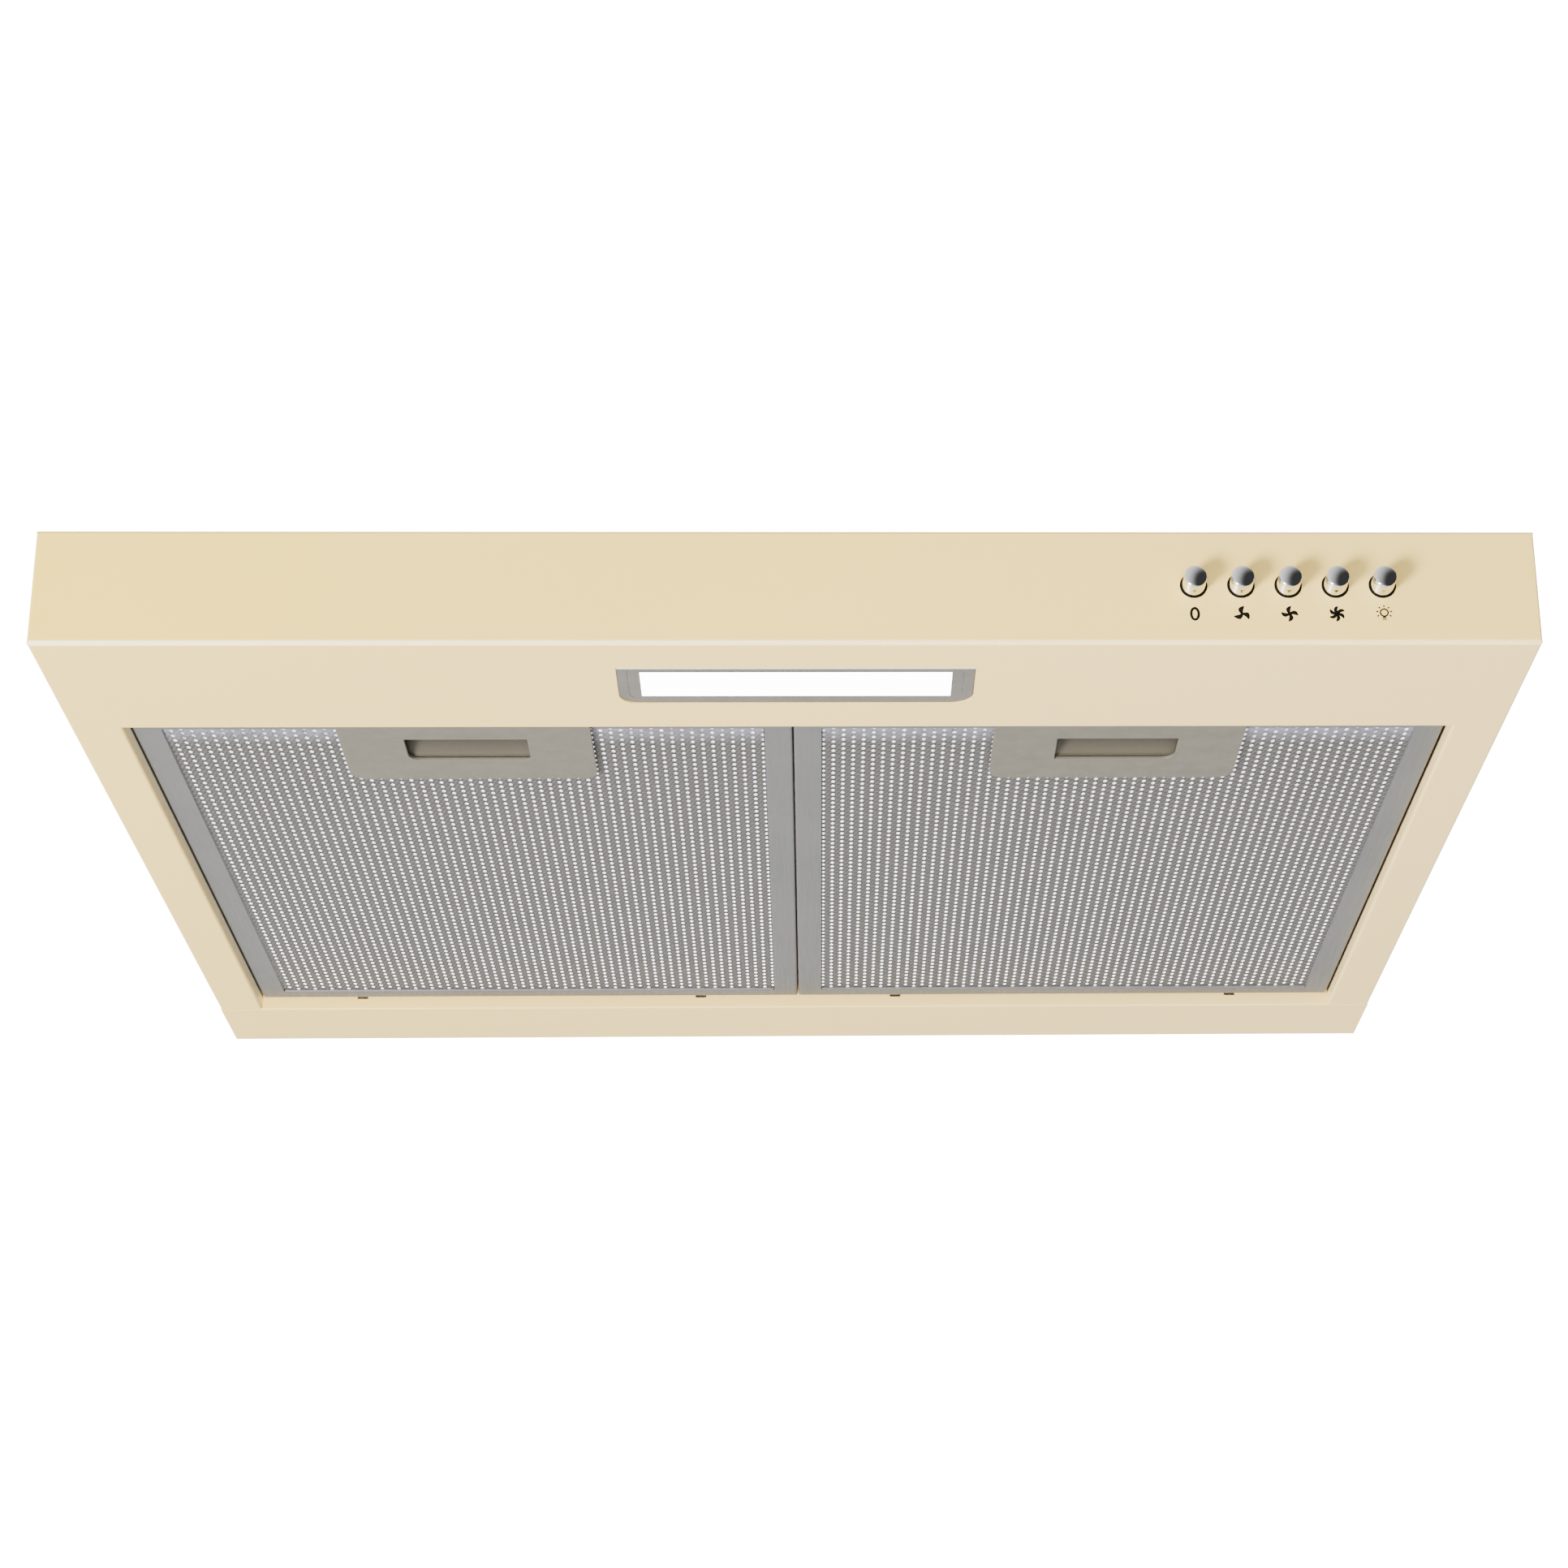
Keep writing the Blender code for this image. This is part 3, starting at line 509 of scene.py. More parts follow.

# %% [markdown]
# The filter cassettes are aluminium. The rails are rolled strip with fine lines along their
# length, the strands of the expanded mesh are a duller brown grey, and the foil layer behind
# them catches the light and looks white through the openings. The strands carry painted shade
# in diagonal bands and round each opening, and painted highlights at their knots. The foil also
# gives off light of its own. Real foil doesn't: this stands in for the many reflections between
# the layers, and it should be turned down in a dark room. Near the front the foil is dimmer and
# patchy, painted shade of the front lip, and the strands there take a bluish painted reflection.

# %% Aluminium finishes
TILE_X, TILE_Y = 4.3, 5.05   # spacing of the mesh openings
FIRST_X, FIRST_Y = 2 * TILE_X, 94.8   # centre of the first opening
FOIL_GLOW, LAMP_GLOW = 3.3, 12.0   # emission strengths


def rail_aluminium():
    made = Finish("rail_aluminium", roughness=0.5, metallic=0.35)
    lines = made.noise(900.0, 2.0, along=(1.0, 0.04, 1.0))
    base = made.mixed(lines, rgb(96, 96, 96), rgb(106, 106, 106))
    made.colour(made.mixed(made.remap(made.noise(14.0, 3.0), 0.45, 0.8), base, rgb(92, 93, 93)))
    made.rough(lines, 0.42, 0.56)
    return made.relief(lines, 0.1, 0.02)


def strand_aluminium():
    made = Finish("strand_aluminium", roughness=0.5, metallic=0.25)
    # Painted shade: the diagonal twist stripes darken the strands in bands.
    twist = made.stripes(1.5 / TILE_X, 1 / TILE_Y)
    knot_highlight = made.stripes(0.0, 2 / TILE_Y, phase=0.8)
    worn = made.mixed(made.noise(60.0, 3.0), rgb(80, 77, 74), rgb(90, 87, 84))
    dark = made.mixed(made.remap(twist, 0.15, 0.75), rgb(56, 54, 52), worn)
    # Painted highlight: the knots between the openings are lighter.
    lit = made.mixed(made.remap(knot_highlight, 0.75, 1.0, 0.0, 0.4), dark, rgb(112, 110, 107))
    # Painted shade: the bonds round each opening are darker.
    turn = math.pi / 2
    start = 2 * math.pi * at(0, FIRST_Y, 0).y / (TILE_Y * MM)
    rows = made.wave(0.0, 1 / TILE_Y, phase=turn - start)
    bond_shade = made.remap(made.times(rows, made.wave(0.5 / TILE_X, 0.0, phase=turn)), -0.25, -0.8)
    joined = made.mixed(bond_shade, lit, rgb(44, 43, 44))
    # Painted reflection: near the front lip the strands turn a patchy bluish light grey.
    made.colour(made.mixed(made.times(made.fade(1, 116, 101), made.noise(260.0, 2.0)),
                           joined, rgb(150, 150, 166)))
    made.rough(made.noise(500.0, 2.0), 0.4, 0.6)
    return made.relief(twist, 0.35, 0.12)


def bright_foil():
    made = Finish("bright_foil", roughness=0.4, metallic=0.0)
    crease = made.noise(500.0, 2.0)
    # Darker towards the front of the cassette.
    clean = made.mixed(made.fade(1, 120, 430), rgb(184, 185, 189), rgb(252, 253, 254))
    clean = made.mixed(made.remap(crease, 0.3, 0.8, 0.0, 0.3), clean, rgb(236, 238, 241))
    # Painted shade: patchy dark blue-grey just behind the front lip.
    patchy = made.remap(made.noise(330.0, 2.0), 0.46, 0.56)
    shine = made.mixed(made.times(made.fade(1, 120, 108), patchy), clean, rgb(112, 113, 124))
    made.colour(shine)
    made.tree.links.new(shine, made.shader.inputs["Emission Color"])
    made.shader.inputs["Emission Strength"].default_value = FOIL_GLOW
    return made.relief(crease, 0.15, 0.05)


def layered_foil():
    """Crimped inner pad, seen only at its edges and when a cassette is down."""
    made = Finish("layered_foil", roughness=0.35, metallic=0.9)
    holes = made.stripes(1 / TILE_X, 0.5 / TILE_Y)
    rows = made.stripes(0.5 / TILE_X, 1 / TILE_Y, phase=1.3)
    both = made.times(holes, rows)
    made.colour(made.mixed(made.remap(both, 0.1, 0.6), rgb(198, 199, 200), rgb(92, 92, 92)))
    made.rough(made.noise(300.0, 2.0), 0.3, 0.5)
    return made.relief(both, 0.6, 0.5)


RAIL, STRAND, FOIL, PAD = rail_aluminium(), strand_aluminium(), bright_foil(), layered_foil()
print("made", [f.material.name for f in (RAIL, STRAND, FOIL, PAD)])

# %% [markdown]
# Plastics and small metal parts. Moulded plastic has a fine eroded grain and soft gloss. Zinc
# coated sheet shows its spangle, a patchwork of crystals. Chrome is nearly a mirror with a
# trace of handling.

# %% Plastics, chrome, zinc and the rest


def moulded(name, light, dark, roughness, grain=900.0, depth=0.04, **sockets):
    """Plastic or paint with a soft mottle and an even fine grain."""
    made = Finish(name, roughness=roughness, **sockets)
    made.colour(made.mixed(made.noise(25.0, 3.0), light, dark))
    made.rough(made.noise(120.0, 2.0), roughness - 0.06, roughness + 0.08)
    return made.relief(made.noise(grain, 2.0), 0.3, depth)


def chrome_plate():
    made = Finish("chrome_plate", roughness=0.08, metallic=1.0)
    made.colour(made.mixed(made.noise(90.0, 2.0), rgb(226, 227, 229), rgb(240, 240, 241)))
    made.rough(made.noise(260.0, 3.0), 0.05, 0.14)
    return made.relief(made.noise(400.0, 1.0), 0.04, 0.01)


def zinc_sheet():
    made = Finish("zinc_spangle", roughness=0.4, metallic=0.85)
    crystal = made.cells(95.0, "Color")
    grey = made.node("SeparateColor", {0: crystal}).outputs[0]
    made.colour(made.mixed(grey, rgb(150, 155, 160), rgb(196, 199, 202)))
    made.rough(grey, 0.3, 0.55, 0.0, 1.0)
    return made.relief(made.cells(95.0, feature="DISTANCE_TO_EDGE"), 0.15, 0.03)


def drawn_steel():
    made = Finish("drawn_steel", roughness=0.3, metallic=1.0)
    lines = made.noise(800.0, 2.0, along=(1.0, 1.0, 0.05))
    made.colour(made.mixed(lines, rgb(150, 151, 154), rgb(190, 191, 193)))
    made.rough(lines, 0.22, 0.4)
    return made.relief(lines, 0.12, 0.02)


def motor_paint():
    made = Finish("motor_casing", roughness=0.45, metallic=0.6)
    made.colour(made.mixed(made.noise(60.0, 4.0), rgb(84, 86, 90), rgb(112, 114, 118)))
    made.rough(made.noise(300.0, 2.0), 0.35, 0.6)
    return made.relief(made.stripes(0.0, 0.0, 1 / 2.5), 0.4, 0.25)


def board_lacquer():
    made = Finish("circuit_board", roughness=0.35)
    tracks = made.remap(made.cells(260.0, feature="DISTANCE_TO_EDGE"), 0.02, 0.06)
    made.colour(made.mixed(tracks, rgb(205, 206, 204), rgb(233, 235, 233)))
    made.rough(tracks, 0.3, 0.45, 0.0, 1.0)
    return made.relief(tracks, 0.2, 0.05)


def printed_ink():
    made = Finish("printed_ink", roughness=0.6, Specular_IOR_Level=0.1)
    made.colour(made.mixed(made.noise(700.0, 2.0), rgb(9, 8, 7), rgb(16, 14, 12)))
    made.rough(made.noise(900.0, 2.0), 0.5, 0.65)
    return made.relief(made.noise(2500.0, 1.0), 0.1, 0.01)


HANDLE = moulded("handle_grey", rgb(93, 89, 78), rgb(87, 83, 73), 0.5, 1400.0, 0.03)
BLACK = moulded("black_plastic", rgb(26, 26, 27), rgb(38, 38, 39), 0.45)
# Painted shade: the near-black sleeves stand for the dark gap round each button.
SLEEVE_SHADE = moulded("sleeve_rubber", rgb(7, 7, 7), rgb(13, 13, 13), 0.7, 700.0, 0.03,
                 Specular_IOR_Level=0.1)
WHITE = moulded("white_plastic", rgb(226, 226, 222), rgb(214, 214, 209), 0.42)
SHEATH = moulded("lead_sheath", rgb(205, 205, 200), rgb(186, 186, 181), 0.5, 500.0, 0.05)
TRIM = moulded("lamp_trim", rgb(225, 226, 224), rgb(214, 215, 213), 0.2, 900.0, 0.01, Metallic=0.3)
LAMP_RIM = moulded("lamp_rim", rgb(93, 90, 83), rgb(85, 82, 76), 0.34, 600.0, 0.02)
CHROME, ZINC, STEEL, MOTOR = chrome_plate(), zinc_sheet(), drawn_steel(), motor_paint()
BOARD, INK = board_lacquer(), printed_ink()


def latch_grey():
    """The handle's plastic, with painted shade: darker in the slot, darkest deep in the scoop."""
    made = Finish("latch_grey", roughness=0.5)
    light = made.mixed(made.noise(25.0, 3.0), rgb(72, 67, 55), rgb(65, 61, 50))
    # Painted shade: darker towards the deep front of the scoop.
    deep_shade = made.mixed(made.fade(1, 126, 114), light, rgb(26, 22, 16))
    made.colour(deep_shade)
    made.rough(made.noise(120.0, 2.0), 0.44, 0.58)
    return made.relief(made.noise(1400.0, 2.0), 0.3, 0.03)


LATCH = latch_grey()


def lamp_glow():
    made = Finish("lamp_glow", roughness=0.35)
    frost = made.mixed(made.noise(800.0, 2.0), rgb(246, 247, 248), rgb(252, 252, 252))
    made.colour(frost)
    made.tree.links.new(frost, made.shader.inputs["Emission Color"])
    made.shader.inputs["Emission Strength"].default_value = LAMP_GLOW
    return made.relief(made.noise(1500.0, 1.0), 0.1, 0.02)


GLOW = lamp_glow()
PALE = moulded("studio_pale", rgb(244, 243, 240), rgb(240, 239, 236), 0.8, 30.0, 0.2)
paint(floor, PALE)
print("made", len(bpy.data.materials), "finishes")

# %% [markdown]
# The hood shell is one folded sheet: fascia, top, sides and the front and side strips of the
# underside. A folder bends a flat blank, so it has one thickness and a small round at each
# fold. It is drawn as a box without thickness, opened, its folds are rounded, and only then
# does it get its 1 mm wall. That keeps each fold as even as a press brake leaves it.

# %% Hood shell: the box
WIDE, DEEP, TALL, FASCIA = 300.0, 508.7, 133.7, 50.0
OPENING, LIP, SEAM = 278.5, 84.7, 458.2
BOX_FRONT, LEAN = 190.0, 15.0   # where the tall rear box starts, and how far its front leans
FLANGE, SHEET = 12.0, 1.0

shell = block("hood_shell", -WIDE, WIDE, 0, BOX_FRONT, 0, FASCIA)
edit(shell)
pick("faces", lambda p, n: n.y > 0.9)
pull(y=DEEP - BOX_FRONT)
pick("faces", lambda p, n: n.z > 0.9 and p.y > BOX_FRONT)
pull(z=TALL - FASCIA)
pick("edges", lambda p, n: near(p.y, BOX_FRONT) and near(p.z, TALL))
shift(y=LEAN)
pick("faces", lambda p, n: n.y > 0.9 or (n.z > 0.9 and p.z > 100))
bpy.ops.mesh.delete(type="FACE")
for x in (-OPENING, OPENING):
    pick("faces", lambda p, n: n.z < -0.9)
    slice_x(x)
for y in (LIP, SEAM):
    pick("faces", lambda p, n: n.z < -0.9 or abs(n.x) > 0.9)
    slice_y(y)
pick("faces", lambda p, n: n.z < -0.9 and (p.y > SEAM or (abs(p.x) < OPENING and p.y > LIP)))
bpy.ops.mesh.delete(type="FACE")
pick("faces", lambda p, n: abs(n.x) > 0.9 and p.y > SEAM)
bpy.ops.mesh.bisect(plane_co=at(0, 0, 1.3), plane_no=(0, 0, 1))
pick("faces", lambda p, n: abs(n.x) > 0.9 and p.y > SEAM and p.z < 1.3)
bpy.ops.mesh.delete(type="FACE")
print("underside opened,", len(bmesh.from_edit_mesh(shell.data).faces), "faces")

# %% Hood shell: flanges, folds and wall


def on_opening(p):
    side = near(abs(p.x), OPENING) and p.y > LIP
    front = near(p.y, LIP) and abs(p.x) < OPENING
    return near(p.z, 0) and p.y < SEAM and (side or front)


pick("edges", lambda p, n: on_opening(p))
for _ in range(2):
    pull(z=FLANGE / 2)
pick("edges", lambda p, n: near(abs(p.x), WIDE) and near(p.z, TALL))
pull()
squeeze(at(0, 0, TALL), x=(WIDE - 12) / WIDE)
bpy.ops.mesh.select_all(action="SELECT")
bpy.ops.mesh.normals_make_consistent(inside=False)
pick("edges", lambda p, n: near(p.y, 0) and abs(n.x) > 0.9)
round_edges(1.8, 5)
pick("edges", lambda p, n: on_opening(p))
round_edges(1.5, 4)
pick("edges", lambda p, n: near(abs(p.x), WIDE) and near(p.z, 0) and p.y > 1 and abs(n.y) > 0.9)
round_edges(1.2, 3)
pick("edges", lambda p, n: near(abs(p.x), WIDE) and near(p.y, 0) and abs(n.z) > 0.9)
round_edges(1.0, 3)
only(shell)
facing = sum(f.normal.y * f.area for f in shell.data.polygons if layout(f.center).y < 0.2)
turn_round(shell, facing > 0)
thicken(shell, SHEET)
print("shell faces", len(shell.data.polygons))

# %% [markdown]
# The lamp's opening and the five button holes are punched with the sheet already folded, by
# Booleans with a rounded block and five bars. The folded front edge and the opening's lower
# flange walls then get a paler, glossier finish, which is a painted highlight. The flange walls
# higher up, behind the opening's edge, get a dark brown, which is painted shade of the gaps.

# %% Hood shell: lamp opening and button holes
LAMP_X, LAMP_FRONT, LAMP_REAR = 72.6, 23.7, 59.6
LAMP_MIDDLE = 1.8   # the lamp sits a little right of the hood's middle
BUTTON_X, BUTTON_Z = (161.0, 180.0, 199.0, 218.0, 237.0), 25.5


def lamp_block(name, smaller, z0, z1, front=0.0):
    """The lamp's outline: square in front, rounded behind."""
    half = LAMP_X - smaller
    made = block(name, LAMP_MIDDLE - half, LAMP_MIDDLE + half, LAMP_FRONT + front,
                 LAMP_REAR - smaller, z0, z1)
    edit(made)
    pick("edges", lambda p, n: abs(n.z) > 0.9 and p.y > 40)
    round_edges(9.0 - smaller, 9)
    return only(made)


holes = [round_bar("hole", (x, 0, BUTTON_Z), 5.6, 8, "Y", 40) for x in BUTTON_X]
carve(shell, lamp_block("lamp_hole", 0.0, -2, 4), *holes)
soften(shell, 0.2, 2, 40)
paint(shell, CREAM, FOLD_HIGHLIGHT, GAP_SHADE)
for face in shell.data.polygons:
    middle = layout(face.center)
    # Painted highlight (index 1): the front fold and the opening's lower flange walls.
    folded = middle.y < 1.9 and middle.z < 1.9 and face.normal.y < -0.1 and face.normal.z < -0.1
    inside = abs(middle.x) < 279.9 and 85.2 < middle.y < 459 and middle.z < 12.5
    folded = folded or (inside and 1.4 < middle.z < 6.0)
    # Painted shade (index 2): the flange walls above 6 mm, behind the opening's edge.
    face.material_index = 1 if folded else 2 if inside and middle.z > 6.0 else 0
seat(shell, "hood", "canopy", slot="cream_steel")

# %% [markdown]
# The rear sheet is the wall plate and the last 50 mm of the underside in one piece. Its front
# edge is turned up to carry the cassettes' tabs in four slots. It is made like the shell, as an
# open sheet that gets its wall last, because then both sheets have the same even thickness.

# %% Rear sheet
REAR, STRIP = 510.0, 458.5
CASSETTE = (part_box("filter_frame_right")[0].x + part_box("filter_frame_right")[1].x) / 2 / MM
# CASSETTE is the middle of the right cassette, and each cassette has a tab to either side
TAB_OFFSET, TAB_WIDE, SLOT_WIDE = 88.0, 5.0, 5.6
TAB_X = [side * CASSETTE + offset for side in (-1, 1) for offset in (-TAB_OFFSET, TAB_OFFSET)]

rear = block("rear_sheet", -WIDE, WIDE, STRIP, REAR, 0, 135)
edit(rear)
pick("faces", lambda p, n: n.z > 0.9 or n.y < -0.9 or abs(n.x) > 0.9)
bpy.ops.mesh.delete(type="FACE")
for x in (-298.7, 298.7):
    pick("faces", lambda p, n: n.z < -0.9)
    slice_x(x)
pick("edges", lambda p, n: near(p.y, STRIP) and near(p.z, 0) and abs(p.x) < 290)
pull(z=12)
bpy.ops.mesh.select_all(action="SELECT")
bpy.ops.mesh.normals_make_consistent(inside=False)
pick("edges", lambda p, n: near(p.z, 0) and near(p.y, REAR) and abs(n.x) > 0.9)
round_edges(2.0, 5)
pick("edges", lambda p, n: near(p.z, 0) and near(p.y, STRIP) and abs(p.x) < 290)
round_edges(0.9, 3)
only(rear)
facing = sum(f.normal.y * f.area for f in rear.data.polygons if layout(f.center).z > 60)
turn_round(rear, facing < 0)
thicken(rear, SHEET)
carve(rear, *[block("slot", x - SLOT_WIDE / 2, x + SLOT_WIDE / 2, 457, 461, 5.6, 9.0)
              for x in TAB_X])
soften(rear, 0.2, 2, 40)
paint(rear, CREAM)
seat(rear, "hood", "rear_panel", slot="cream_steel")

# %% [markdown]
# The key lamp would throw the opening's flange as a dark band on the cassettes' rails. A real
# studio washes such a band out with light from many sides. Light linking does it here: the
# shell casts no shadow of the key lamp, and all other pieces still do.

# %% No key shadow from the shell
see_through = bpy.data.collections.new("no_key_shadow")
see_through.objects.link(shell)
for entry in see_through.collection_objects:
    entry.light_linking.link_state = "EXCLUDE"
KEY_LAMP.light_linking.blocker_collection = see_through

# %% [markdown]
# Each grease filter is a flat cassette. Its rim is one rolled aluminium strip, mitred at the
# corners. A block gets its two wide faces inset, the middle is taken out and the two loops are
# bridged, which leaves a clean rectangular ring to round off. Four separate rails would need
# mitres that never quite close. The right cassette is modelled, and the left one is its copy.

# %% Cassette rims
HALF_C = (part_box("filter_frame_right")[1].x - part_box("filter_frame_right")[0].x) / 2 / MM
FILTER_FRONT, FILTER_REAR = 86.5, 455.0
RIM_LOW, RIM_HIGH, RIM_WIDE = 5.4, 14.4, 12.0


def cassette_rim(name, cx):
    made = block(name, cx - HALF_C, cx + HALF_C, FILTER_FRONT, FILTER_REAR, RIM_LOW, RIM_HIGH)
    edit(made)
    pick("faces", lambda p, n: abs(n.z) > 0.9)
    bpy.ops.mesh.inset(thickness=RIM_WIDE * MM, use_individual=True)
    bpy.ops.mesh.bridge_edge_loops()
    pick("verts", lambda p, n: near(p.y, FILTER_REAR - RIM_WIDE) and abs(p.x - cx) < HALF_C - 6)
    shift(y=3)
    pick("edges", lambda p, n: near(p.z, RIM_LOW) and (
        near(abs(p.x - cx), HALF_C) or near(p.y, FILTER_FRONT) or near(p.y, FILTER_REAR)))
    round_edges(1.1, 3)
    only(made)
    carve(made, block("recess", cx - 32.3, cx + 32.3, 85.5, 147.3, 4.4, 13.2))
    x = cx - TAB_OFFSET
    tab = block("tab", x - TAB_WIDE / 2, x + TAB_WIDE / 2, 453, 461.5, 6.8, 7.8)
    edit(tab)
    pick("edges", lambda p, n: abs(n.z) > 0.9 and p.y > 460)
    round_edges(1.4, 4)
    only(tab)
    carve(made, tab, copy_of(tab, "tab", x=2 * TAB_OFFSET), how="UNION")
    return soften(made, 0.25, 2, 40)


def twins(right, mirrored=False):
    """The right cassette's piece and its copy for the left cassette."""
    name = right.name.replace("right", "left")
    left = copy_of(right, name, x=0.0 if mirrored else -2 * CASSETTE, mirrored=mirrored)
    return (("right", right), ("left", left))


for label, rim in twins(paint(cassette_rim("cassette_rim_right", CASSETTE), RAIL)):
    seat(rim, f"filter_{label}", f"filter_frame_{label}", slot="filter_aluminium")

# %% [markdown]
# Expanded mesh is slit sheet pulled open: lens-shaped openings in columns, every second column
# shifted by half a step, with slightly twisted strands between. One opening is drawn
# from a subdivided plane, a second one is put beside it, and Array modifiers repeat the pair.
# The edges of the field are then trimmed to the rim.

# %% One opening of the mesh
FIELD_HALF, FIELD_FRONT, FIELD_REAR = HALF_C - 12.3, 98.8, 445.7
FACE_Z = 6.15


def opening_tile(name, x, y, z):
    """A plane of one mesh step with an outer ring of eight points round one middle point."""
    only(None)
    bpy.ops.mesh.primitive_plane_add(size=1, location=at(x, y, z))
    bpy.context.object.scale = (TILE_X * MM, TILE_Y * MM, 1.0)
    made = named(name)
    edit(made)
    bpy.ops.mesh.subdivide(number_cuts=1)
    bpy.ops.mesh.flip_normals()
    return made


def pair_up():
    """Adds the neighbour, half a step further back, and joins their edges."""
    bpy.ops.mesh.select_all(action="SELECT")
    bpy.ops.mesh.duplicate_move(TRANSFORM_OT_translate={"value": (TILE_X * MM, TILE_Y / 2 * MM, 0)})
    bpy.ops.mesh.select_all(action="SELECT")
    bpy.ops.mesh.remove_doubles(threshold=0.02 * MM)


def strand_tile(name, x, y):
    made = opening_tile(name, x, y, FACE_Z)
    inset = 0.9
    bpy.ops.mesh.inset(thickness=inset * MM)
    across, along = TILE_X / 2 - inset, TILE_Y / 2 - inset
    centre = at(x, y, FACE_Z)

    def on(value, size):
        return near(abs(value), size, 0.1)

    pick("verts", lambda p, n: on(p.x - x, across) and on(p.y - y, along))
    squeeze(centre, x=0.68 / across, y=1.08 / along)
    pick("verts", lambda p, n: on(p.x - x, across) and near(p.y, y))
    squeeze(centre, x=0.95 / across)
    pick("verts", lambda p, n: near(p.x, x) and on(p.y - y, along))
    squeeze(centre, y=1.92 / along)
    pick("faces", lambda p, n: abs(p.x - x) < 0.7 and abs(p.y - y) < 1.0)
    bpy.ops.mesh.delete(type="FACE")
    pick("verts", lambda p, n: (near(p.x, x + TILE_X / 2) and near(p.y, y))
         or (near(p.x, x - TILE_X / 2) and on(p.y - y, TILE_Y / 2)))
    shift(z=-0.15)
    pick("verts", lambda p, n: (near(p.x, x - TILE_X / 2) and near(p.y, y))
         or (near(p.x, x + TILE_X / 2) and on(p.y - y, TILE_Y / 2)))
    shift(z=0.12)
    pair_up()
    return only(made)


def foil_tile(name, x, y):
    made = opening_tile(name, x, y, 6.62)
    pick("verts", lambda p, n: near(p.x, x) and near(p.y, y))
    shift(z=-0.2)
    pair_up()
    return only(made)


print("mesh steps", TILE_X, "by", TILE_Y, "mm")

# %% [markdown]
# Array modifiers lay the pair of openings out in rows, and bisects trim the field to the rim.
# Strands and foil are made by the same steps, so that an opening of one lies over a dent of
# the other. The left field is the mirror image of the right one.

# %% The field of openings


def field(made, cx, thickness):
    """Repeats a pair of tiles over the cassette and trims the result to its rim."""
    for size, count, way in ((2 * TILE_X, 31, 0), (TILE_Y, 71, 1)):
        repeat = made.modifiers.new("Repeat", "ARRAY")
        repeat.use_relative_offset, repeat.use_constant_offset = False, True
        step = [0.0, 0.0, 0.0]
        step[way] = size * MM
        repeat.constant_offset_displace = step
        repeat.count = count
        repeat.use_merge_vertices, repeat.merge_threshold = True, 0.02 * MM
    apply_all(made)
    edit(made)
    slice_x(cx + FIELD_HALF, clear_outer=True)
    bpy.ops.mesh.select_all(action="SELECT")
    slice_x(cx - FIELD_HALF, clear_inner=True)
    bpy.ops.mesh.select_all(action="SELECT")
    slice_y(FIELD_REAR, clear_outer=True)
    bpy.ops.mesh.select_all(action="SELECT")
    slice_y(FIELD_FRONT, clear_inner=True)
    pick("verts", lambda p, n: abs(p.x - cx) < 32.5 and p.y < 147.5)
    bpy.ops.mesh.delete(type="VERT")
    only(made)
    thicken(made, thickness)
    return made


strands = field(strand_tile("mesh_strands_right", FIRST_X, FIRST_Y), CASSETTE, 0.3)
for label, mesh in twins(paint(strands, STRAND), mirrored=True):
    seat(mesh, f"filter_{label}", f"filter_mesh_{label}", slot="filter_mesh")
foil = field(foil_tile("mesh_foil_right", FIRST_X, FIRST_Y), CASSETTE, 0.1)
for label, layer in twins(paint(foil, FOIL), mirrored=True):
    seat(layer, f"filter_{label}", slot="filter_mesh")

# %% [markdown]
# The mesh ends at the back under a thin rolled bead that holds it in the rim. A round bar with
# inset, softened ends is enough, because its ends lie against the rim.

# %% Retaining beads
bead = round_bar("mesh_bead_right", (CASSETTE, 445.4, 6.0), 1.1, 2 * FIELD_HALF, "X", 16)
edit(bead)
pick("faces", lambda p, n: abs(n.x) > 0.9)
bpy.ops.mesh.inset(thickness=0.3 * MM)
only(bead)
soften(bead, 0.2, 1, 50)
for label, rod in twins(paint(bead, RAIL)):
    seat(rod, f"filter_{label}", slot="filter_aluminium")

# %% [markdown]
# The handle is a moulded plate over the front of each cassette. It has a finger slot, and
# behind the slot an open box that guides the sliding latch. The plate's rear corners are
# rounded, and the slot's outer rear corner is cut back where the finger enters. Plate and box
# are two blocks joined by a Boolean, because each is easy to shape alone. The left plate is a
# mirror copy, so that its cut-back corner is on the outer side too.

# %% Handle plates
SLOT_HALF, SLOT_FRONT, SLOT_REAR = 26.0, 106.0, 128.5
PLATE_HALF, PLATE_FRONT, PLATE_REAR = 53.5, 86.8, 150.0
GUIDE_HALF, GUIDE_REAR, GUIDE_TOP, GUIDE_WALL = 32.0, 147.0, 12.9, 2.0


